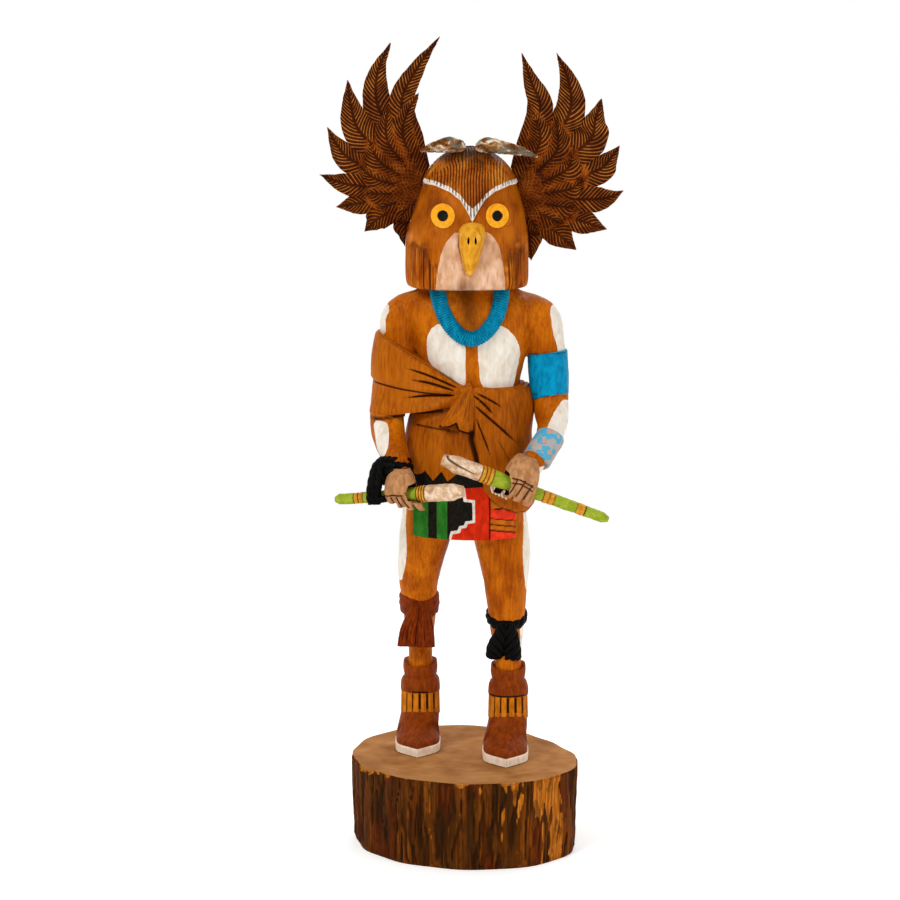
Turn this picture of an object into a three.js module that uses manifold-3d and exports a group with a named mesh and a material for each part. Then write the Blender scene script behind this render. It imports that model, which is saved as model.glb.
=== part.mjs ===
// Kachina doll: an owl-masked figure carved from one root, with a glued beak,
// two fans of feathers, two crown feathers and two wands, standing on a slice
// of log. Millimetres, +Z up. The figure faces -Y, and the origin is the
// centre of the log's underside. "right" and "left" are the figure's own, so
// the right hand is on the -X side.
import * as THREE from 'three';
import { mergeVertices } from 'three/addons/utils/BufferGeometryUtils.js';
import Module from 'manifold-3d';

const wasm = await Module();
wasm.setup();

// ---- driving dimensions -------------------------------------------------
const GAP = 0.3; // between two pieces that touch
const BODY_Y = 8; // middle plane of the figure, front to back
const SLIVER = 0.6; // edges shorter than this are closed up
const FINE_SLIVER = 0.35; // the same, on pieces that lie close along the mask

// Log slice
const LOG_RADIUS = 59;
const LOG_TOP = 43;
const LOG_TAPER = 1.4; // the underside is this much smaller than the top
const LOG_LOBES = [ // the trunk isn't round: count, depth and turn of each set of lobes
  [1, 3.2, 2.1], [2, 5.3, 0.77], [3, 1.3, -1.5], [12, 0.5, 2],
];
const LOG_CHAMFER = 1.4; // chipped rim round the sanded top

// Case mask
const MASK_BOTTOM = 277;
const MASK_TOP = 344;
const MASK_TURN = THREE.MathUtils.degToRad(4); // the head looks a little to its right
const FACE_MIDDLE = 1.7; // the face's middle plane, across
const BROW_SIDE = 327; // where the brow line meets the sides of the mask
const BROW_POINT = 310; // its lowest point, above the beak
const BROW_STEP = 1.1; // the crown stands this proud of the face
const EYE_RADIUS = 5.9;
const EYE_HEIGHT = 313;
const EYE_SPREAD = 13.2; // from the middle of the face to an eye's centre
const EYE_SPLAY = THREE.MathUtils.degToRad(14);
const EYE_PROUD = 1;
const BEAK_TOP = 310;
const BEAK_TIP = 284;

// Body and clothes
const NECK_TOP = 284;
const WAIST = 229;
const KILT_HEM = 152.5;
const ROBE_THICK = 3;
const CREASE_DEPTH = 2;
const CREASE_WIDTH = 3; // at its widest
const SOLE = LOG_TOP + GAP;
const SOLE_THICK = 3.9;

// Wands
const WAND_THICK_END = 4.5; // radius of the carved end
const WAND_THIN_END = 2.6;

// ---- helpers --------------------------------------------------------------
const { lerp } = THREE.MathUtils;

function toSolid(geometry) {
  const bare = geometry.index ? geometry : mergeVertices(geometry);
  for (const name of ['normal', 'uv']) bare.deleteAttribute(name);
  const merged = mergeVertices(bare, 1e-4);
  return new wasm.Manifold(new wasm.Mesh({
    numProp: 3,
    vertProperties: new Float32Array(merged.attributes.position.array),
    triVerts: new Uint32Array(merged.index.array),
  }));
}

// Joins and cuts leave slivers along their seams. Each edge shorter than the
// limit is closed up by moving one end on to the other, where the surface
// stays closed and no face turns over.
function closeShortEdges(points, faces, limit) {
  const around = points.map(() => new Set());
  faces.forEach((face, i) => face.forEach((corner) => around[corner].add(i)));
  const neighbours = (corner) => new Set([...around[corner]].flatMap((i) => faces[i]));
  const normal = (face) => new THREE.Triangle(...face.map((corner) => points[corner]))
    .getNormal(new THREE.Vector3());
  const canMove = (from, to) => {
    const near = neighbours(to);
    const shared = [...neighbours(from)].filter((corner) => near.has(corner));
    if (shared.length !== 4) return false; // the two ends and the two faces' far corners
    return [...around[from]].filter((i) => !faces[i].includes(to)).every((i) => {
      const after = faces[i].map((corner) => (corner === from ? to : corner));
      return normal(after).dot(normal(faces[i])) > 0.5;
    });
  };
  const move = (from, to) => {
    for (const i of [...around[from]]) {
      if (faces[i].includes(to)) {
        faces[i].forEach((corner) => around[corner].delete(i));
        faces[i] = null;
      } else {
        faces[i] = faces[i].map((corner) => (corner === from ? to : corner));
        around[to].add(i);
      }
    }
    around[from].clear();
  };
  for (let moved = true; moved;) {
    moved = false;
    for (let i = 0; i < faces.length; i += 1) {
      for (let k = 0; k < 3 && faces[i]; k += 1) {
        const [from, to] = [faces[i][k], faces[i][(k + 1) % 3]];
        if (points[from].distanceTo(points[to]) < limit) {
          const way = [[from, to], [to, from]].find(([a, b]) => canMove(a, b));
          if (way) {
            move(...way);
            moved = true;
          }
        }
      }
    }
  }
  return faces.filter((face) => face);
}

// Where two edges of a union only just touch, two corners share one spot. Each
// is drawn a little towards the corners round it, so that they stay apart.
function partPinches(points, faces) {
  const spots = new Map();
  for (const corner of new Set(faces.flat())) {
    const key = points[corner].toArray().map((v) => v.toFixed(2)).join();
    spots.set(key, [...(spots.get(key) ?? []), corner]);
  }
  for (const corner of [...spots.values()].filter((corners) => corners.length > 1).flat()) {
    const around = [...new Set(faces.filter((face) => face.includes(corner)).flat())];
    const middle = new THREE.Vector3();
    for (const other of around) middle.addScaledVector(points[other], 1 / around.length);
    points[corner].lerp(middle, 0.1);
  }
}

function toGeometry(solid, sliver) {
  const { vertProperties, triVerts } = solid.getMesh();
  const points = Array.from({ length: vertProperties.length / 3 },
    (_, i) => new THREE.Vector3().fromArray(vertProperties, i * 3));
  const faces = Array.from({ length: triVerts.length / 3 }, (_, i) => [...triVerts.slice(i * 3, i * 3 + 3)]);
  const kept = closeShortEdges(points, faces, sliver);
  partPinches(points, kept);
  const geometry = new THREE.BufferGeometry().setFromPoints(points);
  geometry.setIndex(kept.flat());
  geometry.computeVertexNormals();
  return geometry;
}

const join = (...solids) => solids.reduce((whole, next) => whole.add(next));

// A unit circle squared up: power 2 is an ellipse, larger is boxier.
function roundedSquare(angle, power) {
  const squared = (v) => Math.sign(v) * Math.abs(v) ** (2 / power);
  return [squared(Math.sin(angle)), squared(Math.cos(angle))];
}

// A closed body through ring stations. Each station is
//   { at: [x, y, z], wide, front, back, power }
// half the width, then the depths before and behind the station's centre.
// Rings lie level, or square to the path where `follow` names its side
// direction. `grow` offsets the body outward.
function loft(stations, { sides = 16, levels = stations.length - 1, follow = null, grow = 0 } = {}) {
  const path = new THREE.CatmullRomCurve3(
    stations.map((s) => new THREE.Vector3(...s.at)), false, 'catmullrom');
  const half = new THREE.CatmullRomCurve3(
    stations.map((s) => new THREE.Vector3(s.wide, s.front, s.back ?? s.front)), false, 'catmullrom');
  const powers = stations.map((s) => s.power ?? 2);
  const geometry = new THREE.CylinderGeometry(1, 1, 1, sides, levels);
  const spots = geometry.attributes.position;
  const spot = new THREE.Vector3();
  for (let i = 0; i < spots.count; i += 1) {
    spot.fromBufferAttribute(spots, i);
    const along = Math.min(1, Math.max(0, spot.y + 0.5));
    const centre = path.getPoint(along);
    const size = half.getPoint(along);
    const tangent = follow ? path.getTangent(along) : new THREE.Vector3(0, 0, 1);
    const side = new THREE.Vector3(...(follow ?? [1, 0, 0]));
    side.addScaledVector(tangent, -side.dot(tangent)).normalize();
    const deep = side.clone().cross(tangent);
    const place = along * (powers.length - 1);
    const before = Math.min(powers.length - 2, Math.floor(place));
    const power = lerp(powers[before], powers[before + 1], place - before);
    const reach = Math.min(1, Math.hypot(spot.x, spot.z));
    const [u, v] = roundedSquare(Math.atan2(spot.x, spot.z), power);
    centre.addScaledVector(side, u * reach * (size.x + grow));
    centre.addScaledVector(deep, v * reach * ((v > 0 ? size.y : size.z) + grow));
    spots.setXYZ(i, centre.x, centre.y, centre.z);
  }
  return toSolid(geometry);
}

// A straight-sided block whose front view is the outline, [x, z] by [x, z].
function prism(outline, yFront = -80, yBack = 80) {
  const shape = new THREE.Shape(outline.map(([x, z]) => new THREE.Vector2(x, z)));
  const geometry = new THREE.ExtrudeGeometry(shape, { depth: yBack - yFront, bevelEnabled: false });
  geometry.rotateX(Math.PI / 2).translate(0, yBack, 0);
  return toSolid(geometry);
}

// A block that cuts a fold line: a slim lens in front view.
function crease([x1, z1], [x2, z2]) {
  const run = new THREE.Vector2(x2 - x1, z2 - z1);
  const across = new THREE.Vector2(-run.y, run.x).setLength(CREASE_WIDTH / 2);
  const middle = [lerp(x1, x2, 0.55), lerp(z1, z2, 0.55)];
  return prism([
    [x1, z1],
    [middle[0] + across.x, middle[1] + across.y],
    [x2, z2],
    [middle[0] - across.x, middle[1] - across.y],
  ], -40, BODY_Y);
}

// ---- log slice --------------------------------------------------------------
function logSlice() {
  const sides = 48;
  const geometry = new THREE.CylinderGeometry(1, 1, 1, sides, 3);
  const spots = geometry.attributes.position;
  const levels = [
    { z: 0, inset: LOG_TAPER + 0.8 },
    { z: 2, inset: LOG_TAPER },
    { z: LOG_TOP - LOG_CHAMFER, inset: 0 },
    { z: LOG_TOP, inset: LOG_CHAMFER },
  ];
  for (let i = 0; i < spots.count; i += 1) {
    const angle = Math.atan2(spots.getX(i), spots.getZ(i));
    const reach = Math.min(1, Math.hypot(spots.getX(i), spots.getZ(i)));
    const level = levels[Math.round((spots.getY(i) + 0.5) * 3)];
    const radius = LOG_LOBES.reduce((sum, [count, depth, turn]) => (
      sum + depth * Math.sin(count * angle + turn)), LOG_RADIUS - level.inset) * reach;
    spots.setXYZ(i, Math.sin(angle) * radius, -Math.cos(angle) * radius, level.z);
  }
  return toSolid(geometry);
}

// ---- case mask --------------------------------------------------------------
const MASK_RINGS = [
  { at: [0.2, 0, MASK_BOTTOM], wide: 27.2, front: 26.6, power: 2.7 },
  { at: [0.3, 0, 283], wide: 30, front: 28.8, power: 2.7 },
  { at: [0.3, 0, 299], wide: 29.8, front: 28.6, power: 2.6 },
  { at: [0.9, 0, 309], wide: 28, front: 27.2, power: 2.5 },
  { at: [1.5, 0, 319], wide: 25.3, front: 25.2, power: 2.4 },
  { at: [1.8, 0, BROW_SIDE], wide: 22.5, front: 22.8, power: 2.3 },
  { at: [1.7, 0, 334], wide: 18.8, front: 19.4, power: 2.2 },
  { at: [1.6, 0, 339], wide: 14, front: 14.6, power: 2 },
  { at: [1.6, 0, 342.6], wide: 8, front: 8.6, power: 2 },
  { at: [1.6, 0, MASK_TOP], wide: 3.4, front: 3.4, power: 2 },
];

const placeMask = (solid) => solid
  .rotate([0, 0, THREE.MathUtils.radToDeg(MASK_TURN)])
  .translate([0, BODY_Y, 0]);

function maskShell(grow = 0) {
  return placeMask(loft(MASK_RINGS, { sides: 24, grow }));
}

// Everything above the brow line, which dips to a point over the beak.
function aboveBrow() {
  const wide = 40;
  const top = MASK_TOP + 20;
  const dip = [[-wide, BROW_SIDE + 3], [-20, BROW_SIDE], [-8, BROW_SIDE - 7], [0, BROW_POINT]];
  const left = dip.map(([x, z]) => [FACE_MIDDLE + x, z]);
  const right = dip.map(([x, z]) => [FACE_MIDDLE - x, z]).reverse().slice(1);
  const front = prism([...left, ...right, [FACE_MIDDLE + wide, top], [FACE_MIDDLE - wide, top]], -40, BODY_Y);
  const back = prism([[-wide, BROW_SIDE], [wide, BROW_SIDE], [wide, top], [-wide, top]], BODY_Y, 60);
  return front.add(back);
}

// The mask with its brow step, `clear` larger all over, to cut its neighbours.
function maskRoom(clear) {
  const crown = maskShell(BROW_STEP + clear).intersect(aboveBrow().translate([0, 0, -clear]));
  return maskShell(clear).add(crown);
}

// An eye is a disc sunk in the face, turned with it and splayed to its side.
function eye(side) {
  const deep = 12;
  const faceDepth = 23.6; // of the face before BODY_Y, at the eyes
  const disc = new THREE.CylinderGeometry(EYE_RADIUS, EYE_RADIUS - 0.5, deep, 16);
  disc.rotateZ(side * EYE_SPLAY + MASK_TURN);
  disc.translate(side * EYE_SPREAD + FACE_MIDDLE, BODY_Y - faceDepth - EYE_PROUD + deep / 2, EYE_HEIGHT);
  return toSolid(disc);
}

const mask = () => join(maskRoom(0), eye(-1), eye(1));

function beak() {
  const hook = loft([
    { at: [1.9, -19.6, BEAK_TIP], wide: 1.2, front: 2, power: 2 },
    { at: [1.9, -20, BEAK_TIP + 5], wide: 3, front: 5, power: 2 },
    { at: [1.8, -20, BEAK_TIP + 13], wide: 5, front: 7.4, power: 2.2 },
    { at: [1.7, -19, BEAK_TIP + 20], wide: 6.2, front: 7.6, power: 2.2 },
    { at: [1.7, -17, BEAK_TOP], wide: 4, front: 5, power: 2 },
  ], { sides: 10, levels: 6 });
  return hook.subtract(maskRoom(GAP));
}

// ---- body -------------------------------------------------------------------
const TORSO_RINGS = [
  { at: [0, BODY_Y, 200], wide: 26, front: 18, back: 18, power: 2.3 },
  { at: [1.5, BODY_Y, 216], wide: 25, front: 17.6, back: 17, power: 2.3 },
  { at: [2.4, BODY_Y, WAIST], wide: 24, front: 17.8, back: 16.5, power: 2.3 },
  { at: [2.8, BODY_Y, 245], wide: 27.2, front: 19.2, back: 18, power: 2.4 },
  { at: [2.8, BODY_Y, 258], wide: 31.4, front: 19.6, back: 19, power: 2.5 },
  { at: [1.4, BODY_Y, 268], wide: 34, front: 17.5, back: 18, power: 2.4 },
  { at: [0.6, BODY_Y, 275], wide: 25, front: 14.6, back: 15, power: 2.2 },
  { at: [0.6, BODY_Y, NECK_TOP], wide: 15, front: 13, back: 13, power: 2 },
];

const HIP_RINGS = [
  { at: [-0.8, BODY_Y, KILT_HEM], wide: 32.2, front: 18, back: 17.4, power: 2.8 },
  { at: [-0.8, BODY_Y, 166], wide: 32.3, front: 20, back: 19.4, power: 2.7 },
  { at: [-0.5, BODY_Y, 186], wide: 31, front: 21, back: 20.5, power: 2.6 },
  { at: [0.4, BODY_Y, 204], wide: 28.6, front: 20.4, back: 19.6, power: 2.5 },
  { at: [2.2, BODY_Y, 218], wide: 28, front: 18.6, back: 17.8, power: 2.4 },
  { at: [2.4, BODY_Y, 232], wide: 25.2, front: 17.8, back: 16.6, power: 2.3 },
];

// One leg from the boot's fringe up into the kilt, ring by ring. The lower leg
// stands at `ankle`, and `knee` sets how high the tie sits. Knee, thigh and hip
// are [x, y, z, half width]. Rings: fringe, cuff, turned-down top, calf, tie, thigh.
function leg({ ankle, knee, thigh, hip, boot, calf }) {
  const ring = (x, y, z, wide, deep, power = 2.3) => ({ at: [x, y, z], wide, front: deep, power });
  const low = (z, wide, shift = 0) => ring(ankle[0] + shift, ankle[1], ankle[2] + z, wide, wide + 0.2);
  const tie = (z, wide) => ring(knee[0], knee[1], knee[2] + z, wide, wide + 0.8);
  const bare = ([x, y, z, wide]) => ring(x, y, z, wide, wide * 1.14);
  const fringe = [low(0, boot - 0.4), low(1.4, boot + 0.1), low(12.6, boot - 0.1)];
  const cuff = [low(13, boot + 0.5), low(14.6, boot + 0.6), low(21, boot - 0.6)];
  const bootTop = [low(22, boot - 1.4), low(25.4, boot - 0.9), low(29.6, boot - 1.6)];
  const shin = [
    low(29.8, calf - 0.4),
    ring(lerp(ankle[0], knee[0], 0.4), lerp(ankle[1], knee[1], 0.3), 96, calf, calf + 1.4),
  ];
  const kneeTie = [
    tie(-6, calf + 0.8), tie(-4.8, knee[3] - 0.7),
    tie(0, knee[3]),
    tie(4.6, knee[3] - 0.6), tie(5.6, knee[3] - 1.6),
  ];
  const inKilt = [hip[0] + Math.sign(-hip[0]) * 3, hip[1] - 0.6, hip[2] + 16, hip[3] + 3];
  const upper = [thigh, hip, inKilt].map(bare);
  return loft([...fringe, ...cuff, ...bootTop, ...shin, ...kneeTie, ...upper], { sides: 16 });
}

// Boot below the fringe: a foot drawn out to a blunt toe, on a flat sole.
function foot([x, y], wide, toeReach) {
  const heel = 10;
  const ring = (shift, z, half, front, back = heel) => (
    { at: [x + shift, y, z], wide: half, front, back, power: 2.2 });
  const edge = SOLE + SOLE_THICK;
  return loft([
    ring(0, SOLE, wide + 0.7, toeReach + 0.9, heel + 0.7),
    ring(0, edge, wide + 0.7, toeReach + 0.9, heel + 0.7),
    ring(0, edge + 0.1, wide, toeReach),
    ring(0, edge + 3.6, wide, toeReach - 1.4),
    ring(0.5, edge + 8, wide - 1, toeReach - 9.5),
    ring(1, edge + 14, 9, 11),
  ], { sides: 18 });
}

// A flat hanging end of a tie, wider at its foot.
function tassel([xTop, xFoot, y, zTop, zFoot], wideTop, wideFoot, deep) {
  return loft([
    { at: [xFoot, y, zFoot], wide: wideFoot * 0.9, front: deep * 0.8, power: 2.4 },
    { at: [lerp(xTop, xFoot, 0.8), y - 0.2, zFoot + 4], wide: wideFoot, front: deep, power: 2.4 },
    { at: [xTop, y + 0.4, zTop], wide: wideTop, front: deep * 0.8 },
  ], { sides: 8 });
}

function rightLeg() {
  return join(
    leg({
      ankle: [-22.9, 17.6, 58], knee: [-23.1, 13.4, 117, 10.8], boot: 9.8, calf: 6.6,
      thigh: [-23.4, 11.4, 130, 10.1], hip: [-21.3, 9.6, 145, 12],
    }),
    foot([-24.1, 17.6], 11.1, 27),
    tassel([-28, -30, 6.6, 118, 96.5], 3.6, 4.4, 3),
    tassel([-20, -20.4, 5.6, 118, 96], 4.4, 4.5, 3),
  );
}

function leftLeg() {
  return join(
    leg({
      ankle: [20.9, -2, 60], knee: [20.4, 2.4, 111, 10.2], boot: 10, calf: 7.2,
      thigh: [19.7, 4.6, 129, 10.9], hip: [18.4, 6.6, 145, 13.3],
    }),
    foot([19.4, -2], 11.5, 28),
    tassel([16.4, 15, -6.4, 112, 92.5], 4, 4.7, 3.4),
    tassel([22.6, 23.4, -6.4, 112, 91.5], 4, 4.4, 3.4),
  );
}

// ---- arms and hands -----------------------------------------------------------
function rightArm() {
  const arm = loft([
    { at: [-20, BODY_Y, 267.4], wide: 8.4, front: 10 },
    { at: [-32.2, BODY_Y, 261.6], wide: 9.2, front: 9.8 },
    { at: [-33.4, BODY_Y, 248], wide: 9.2, front: 9 },
    { at: [-36.6, 7.6, 232], wide: 9, front: 9 },
    { at: [-39, 4.6, 216], wide: 8.4, front: 9 },
    { at: [-38, -6, 204], wide: 8.2, front: 8.4 },
    { at: [-34.6, -16, 195], wide: 6.8, front: 7 },
    { at: [-32, -22, 186], wide: 6, front: 6 },
  ], { sides: 12, levels: 9, follow: [1, 0, 0] });
  const yarn = loft([
    { at: [-36.2, -12.6, 198], wide: 8, front: 8 },
    { at: [-35.2, -16, 194], wide: 9.6, front: 9.6 },
    { at: [-34.2, -19, 190], wide: 8, front: 8 },
  ], { sides: 12, follow: [1, 0, 0] });
  return arm.add(yarn);
}

function leftArm() {
  const arm = loft([
    { at: [22, BODY_Y, 267], wide: 8, front: 10 },
    { at: [36.4, BODY_Y, 261], wide: 9, front: 9.8 },
    { at: [38.9, BODY_Y, 248], wide: 9.8, front: 9.4 },
    { at: [40.8, 7.6, 234], wide: 8.8, front: 9 },
    { at: [41.7, 5.4, 218], wide: 8.8, front: 9 },
    { at: [42.2, -2, 208], wide: 7.2, front: 8.2 },
    { at: [38, -13, 200], wide: 5.8, front: 6.6 },
    { at: [30, -21, 189], wide: 5.6, front: 6 },
  ], { sides: 12, levels: 9, follow: [1, 0, 0] });
  const armband = loft([
    { at: [41.3, 7, 222.5], wide: 9, front: 9.8 },
    { at: [40.4, 7.4, 233], wide: 9.7, front: 10.2 },
    { at: [40, BODY_Y, 244], wide: 9.2, front: 9.9 },
  ], { sides: 14, follow: [1, 0, 0] });
  const cuff = loft([
    { at: [41.4, -9.6, 204.2], wide: 6.5, front: 7.2 },
    { at: [34, -17.6, 193.8], wide: 6.9, front: 7.2 },
  ], { sides: 12, follow: [0.8, 0, -0.6] });
  return join(arm, armband, cuff);
}

// A closed hand: a rounded block, cut by the lines between the fingers.
function fist([x, y, z], { wide, deep, tall, lean, cuts }) {
  const block = loft([
    { at: [x, y, z - tall], wide: wide * 0.62, front: deep * 0.7, power: 2.4 },
    { at: [x, y, z - tall * 0.55], wide: wide * 0.94, front: deep, power: 2.6 },
    { at: [x, y, z], wide, front: deep, power: 2.6 },
    { at: [x, y, z + tall * 0.6], wide: wide * 0.9, front: deep * 0.9, power: 2.4 },
    { at: [x, y, z + tall], wide: wide * 0.55, front: deep * 0.6, power: 2.2 },
  ], { sides: 14 });
  const lines = cuts.map(([xTop, zTop, xFoot, zFoot]) => prism([
    [x + xTop - 0.5, z + zTop], [x + xTop + 0.5, z + zTop],
    [x + xFoot + 0.5, z + zFoot], [x + xFoot - 0.5, z + zFoot],
  ], y - deep * 2, y - deep + 1));
  const carved = lines.reduce((hand, line) => hand.subtract(line), block);
  return carved.translate([-x, -y, -z]).rotate([0, lean, 0]).translate([x, y, z]);
}

const RIGHT_FIST = [-31.6, -24.6, 180];
const LEFT_FIST = [26.2, -25.2, 184.6];

function hands() {
  const right = fist(RIGHT_FIST, {
    wide: 8.4, deep: 8.6, tall: 10.4, lean: 6,
    cuts: [[-2.4, -1, 0, -9.5], [0.6, -1, 3.2, -9.5], [3.6, -1, 6, -8]],
  });
  const left = fist(LEFT_FIST, {
    wide: 9.6, deep: 8.6, tall: 11.2, lean: 14,
    cuts: [[-4.2, -1, -6.2, -9], [-0.6, -2, -2.6, -10], [3.2, -2.4, 1.6, -10]],
  });
  return right.add(left);
}

// ---- wands ----------------------------------------------------------------------
const RIGHT_WAND = { thick: [-1.7, -35.5, 181.2], thin: [-64, -13.6, 173.6] };
const LEFT_WAND = { thick: [-11.4, -32.5, 196.2], thin: [69.2, -20, 164.8] };

function wand({ thick, thin }, grow = 0) {
  const from = new THREE.Vector3(...thin);
  const to = new THREE.Vector3(...thick);
  const place = (t) => from.clone().lerp(to, t).toArray();
  const ring = (t, radius) => ({ at: place(t), wide: radius, front: radius });
  return loft([
    ring(0, WAND_THIN_END * 0.55),
    ring(0.035, WAND_THIN_END),
    ring(0.36, WAND_THIN_END + 0.4),
    ring(0.62, WAND_THICK_END - 1),
    ring(0.7, WAND_THICK_END - 0.3),
    ring(0.92, WAND_THICK_END),
    ring(1, WAND_THICK_END * 0.62),
  ], { sides: 12, follow: [0, 0, 1], grow });
}

// ---- robe, kilt and ornaments ---------------------------------------------------
const WRAP_RINGS = [
  { at: [-8.6, BODY_Y - 1, 208], wide: 39.4, front: 21, back: 19, power: 2.7 },
  { at: [-8, BODY_Y - 1, 220], wide: 38.2, front: 19.6, back: 18, power: 2.6 },
  { at: [-7.6, BODY_Y, WAIST], wide: 37.4, front: 19.4, back: 17.6, power: 2.5 },
  { at: [-7.4, BODY_Y, 243], wide: 37, front: 19.2, back: 18, power: 2.5 },
  { at: [-7.4, BODY_Y, 256], wide: 34.4, front: 18.6, back: 17.6, power: 2.5 },
];
const KNOT = [1.8, WAIST - 1];

function robe() {
  const wrap = (grow) => loft(WRAP_RINGS, { sides: 18, grow });
  const hips = (grow) => loft(HIP_RINGS, { sides: 18, grow });
  const upperFold = wrap(1.6).intersect(prism([
    [-60, 262], [-44, 253.5], KNOT, [2, 226], [-47, 229], [-60, 231],
  ]));
  const lowerFold = wrap(0.4).intersect(prism([
    [-60, 240], KNOT, [0, 219], [-9, 215.5], [-36, 211], [-60, 207],
  ]));
  const waistFold = loft(TORSO_RINGS, { sides: 18, grow: ROBE_THICK - 0.4 })
    .intersect(prism([KNOT, [20, 227], [40, 230], [40, 208], [0, 208]]));
  const hipFold = hips(ROBE_THICK).intersect(prism([
    KNOT, [14, 229], [40, 229], [40, 163.5], [32, 166], [20, 172], [8, 178.5], [6, 194], [2.6, 212],
  ]));
  const underFold = hips(1.4).intersect(prism([
    [-40, 216], [3, 222], [6, 196], [8, 184], [-3, 187], [-8, 183.6], [-12, 189], [-16, 184.4],
    [-20, 189], [-24.6, 185], [-31, 198], [-40, 206],
  ]));
  const creases = join(
    crease([-32, 236], [-6, 226.5]),
    crease([-30, 230], [-5, 224.6]),
    crease([-33, 219.6], [-6, 220.6]),
    crease([4, 224], [21, 215]),
    crease([5, 216], [28, 195]),
    crease([4, 211], [11.6, 189]),
  );
  const uncut = join(wrap(-1).intersect(prism([[-60, 250], [10, 222], [10, 200], [-60, 200]])), hips(0));
  const cloth = join(upperFold, lowerFold, waistFold, hipFold, underFold);
  const floor = wrap(1 - CREASE_DEPTH).add(hips(ROBE_THICK - CREASE_DEPTH));
  return cloth.subtract(creases.subtract(floor)).add(uncut);
}

// Two leaf-shaped ends hang from the knot at the waist.
function knot() {
  const end = (xFoot, zFoot, wide) => loft([
    { at: [xFoot, -15.6, zFoot], wide: wide * 0.9, front: 2, power: 2.6 },
    { at: [lerp(KNOT[0], xFoot, 0.7), -15.4, lerp(KNOT[1], zFoot, 0.7)], wide, front: 2.6, power: 2.4 },
    { at: [lerp(KNOT[0], xFoot, 0.3), -14.4, lerp(KNOT[1], zFoot, 0.3)], wide: wide * 0.62, front: 2.8 },
    { at: [KNOT[0] - 0.6, -12.4, KNOT[1] + 0.6], wide: 1.2, front: 1.6 },
  ], { sides: 8 });
  return end(-7.4, 209.6, 4.4).add(end(-0.6, 206.4, 3.9));
}

function necklace() {
  const rope = (at) => ({ at, wide: 2.4, front: 4 });
  return loft([
    rope([-14, 9, 281]), rope([-15, -5, 277]), rope([-12.4, -9.2, 268]), rope([-8, -11.4, 260]),
    rope([2.2, -12, 253.4]),
    rope([12.6, -11.4, 260]), rope([16.2, -9.2, 268]), rope([17.6, -5, 277]), rope([16.6, 9, 281]),
  ], { sides: 8, levels: 16, follow: [0, -1, 0] });
}

// Long black tassel from the right wrist, and the robe's edge behind it.
function wristTassel() {
  return join(
    loft([
      { at: [-44.3, -27, 172.8], wide: 3, front: 2.8, power: 2.4 },
      { at: [-44.3, -26.6, 181], wide: 3.3, front: 3, power: 2.4 },
      { at: [-43.2, -23, 190], wide: 3, front: 3 },
      { at: [-41, -19, 195.4], wide: 3, front: 3 },
    ], { sides: 8 }),
    loft([
      { at: [-42.4, -2, 188], wide: 3, front: 5 },
      { at: [-43, 3, 199], wide: 3.8, front: 8 },
      { at: [-44, 6, 212], wide: 4.2, front: 10 },
    ], { sides: 8 }),
  );
}

function figure() {
  const carved = join(
    loft(TORSO_RINGS, { sides: 18 }),
    robe(),
    knot(),
    necklace(),
    rightLeg(),
    leftLeg(),
    rightArm(),
    leftArm(),
    hands(),
    wristTassel(),
    mask(),
  );
  return carved.subtract(wand(RIGHT_WAND, GAP)).subtract(wand(LEFT_WAND, GAP));
}

// ---- feathers -------------------------------------------------------------------
// A fan is a row of long feathers from one root, with shorter ones over them.
// Each entry is [tip x, tip z, middle x, middle z, width at the middle, bow]:
// the outer edge bows by that part of the feather's free length.
const RIGHT_FAN = [
  [-13, 398, -31.6, 366, 13, 0.05], [-37, 395, -43, 364, 15.5, 0.11], [-58, 377, -52, 352, 17, 0.05],
  [-68, 354, -56, 338, 14.5, 0.07], [-72, 331, -56, 326, 12, 0.03], [-64, 315, -52, 317, 12, 0],
  [-50, 303, -43, 309.6, 12.5, 0], [-30, 295.4, -32, 302, 12, 0],
];
const LEFT_FAN = [
  [27, 390, 36, 363, 13.5, 0], [44, 390, 50, 360, 16.5, 0.1], [66, 368, 60, 347.6, 18, 0],
  [75, 345, 64, 333, 15.5, 0.06], [77, 323, 63, 319, 13.5, 0.07], [69, 304, 57, 308, 13.5, 0],
  [54, 294, 45, 302, 14, 0], [30.6, 288.6, 33, 298, 13, 0],
];
const FAN_Y = 11;
const FAN_HALF_THICK = 2.8;
const FAN_ROOTS = { right: [-19, 322], left: [22, 319] };
const SHORT_ROW = 0.66; // length of the short feathers against the long ones

function feather([rootX, rootZ], [tipX, tipZ, midX, midZ, width, bow], y, length, thick) {
  const shrink = (x, z) => [lerp(rootX, x, length), y, lerp(rootZ, z, length)];
  const half = (width / 2) * (length < 1 ? 0.92 : 1);
  const outward = Math.sign(midX - rootX) * bow; // the tip turns up and back to the mask
  const [bowX, bowZ] = [outward * (tipZ - midZ), -outward * (tipX - midX)];
  return loft([
    { at: [rootX, y, rootZ], wide: thick, front: half * 0.6 },
    { at: shrink(lerp(rootX, midX, 0.55), lerp(rootZ, midZ, 0.55)), wide: thick, front: half * 0.8 },
    { at: shrink(midX, midZ), wide: thick * 0.9, front: half },
    {
      at: shrink(lerp(midX, tipX, 0.5) + bowX, lerp(midZ, tipZ, 0.5) + bowZ),
      wide: thick * 0.7,
      front: half * 0.7,
    },
    { at: shrink(tipX, tipZ), wide: 0.6, front: 0.5 },
  ], { sides: 6, levels: 5, follow: [0, 1, 0] });
}

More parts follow.
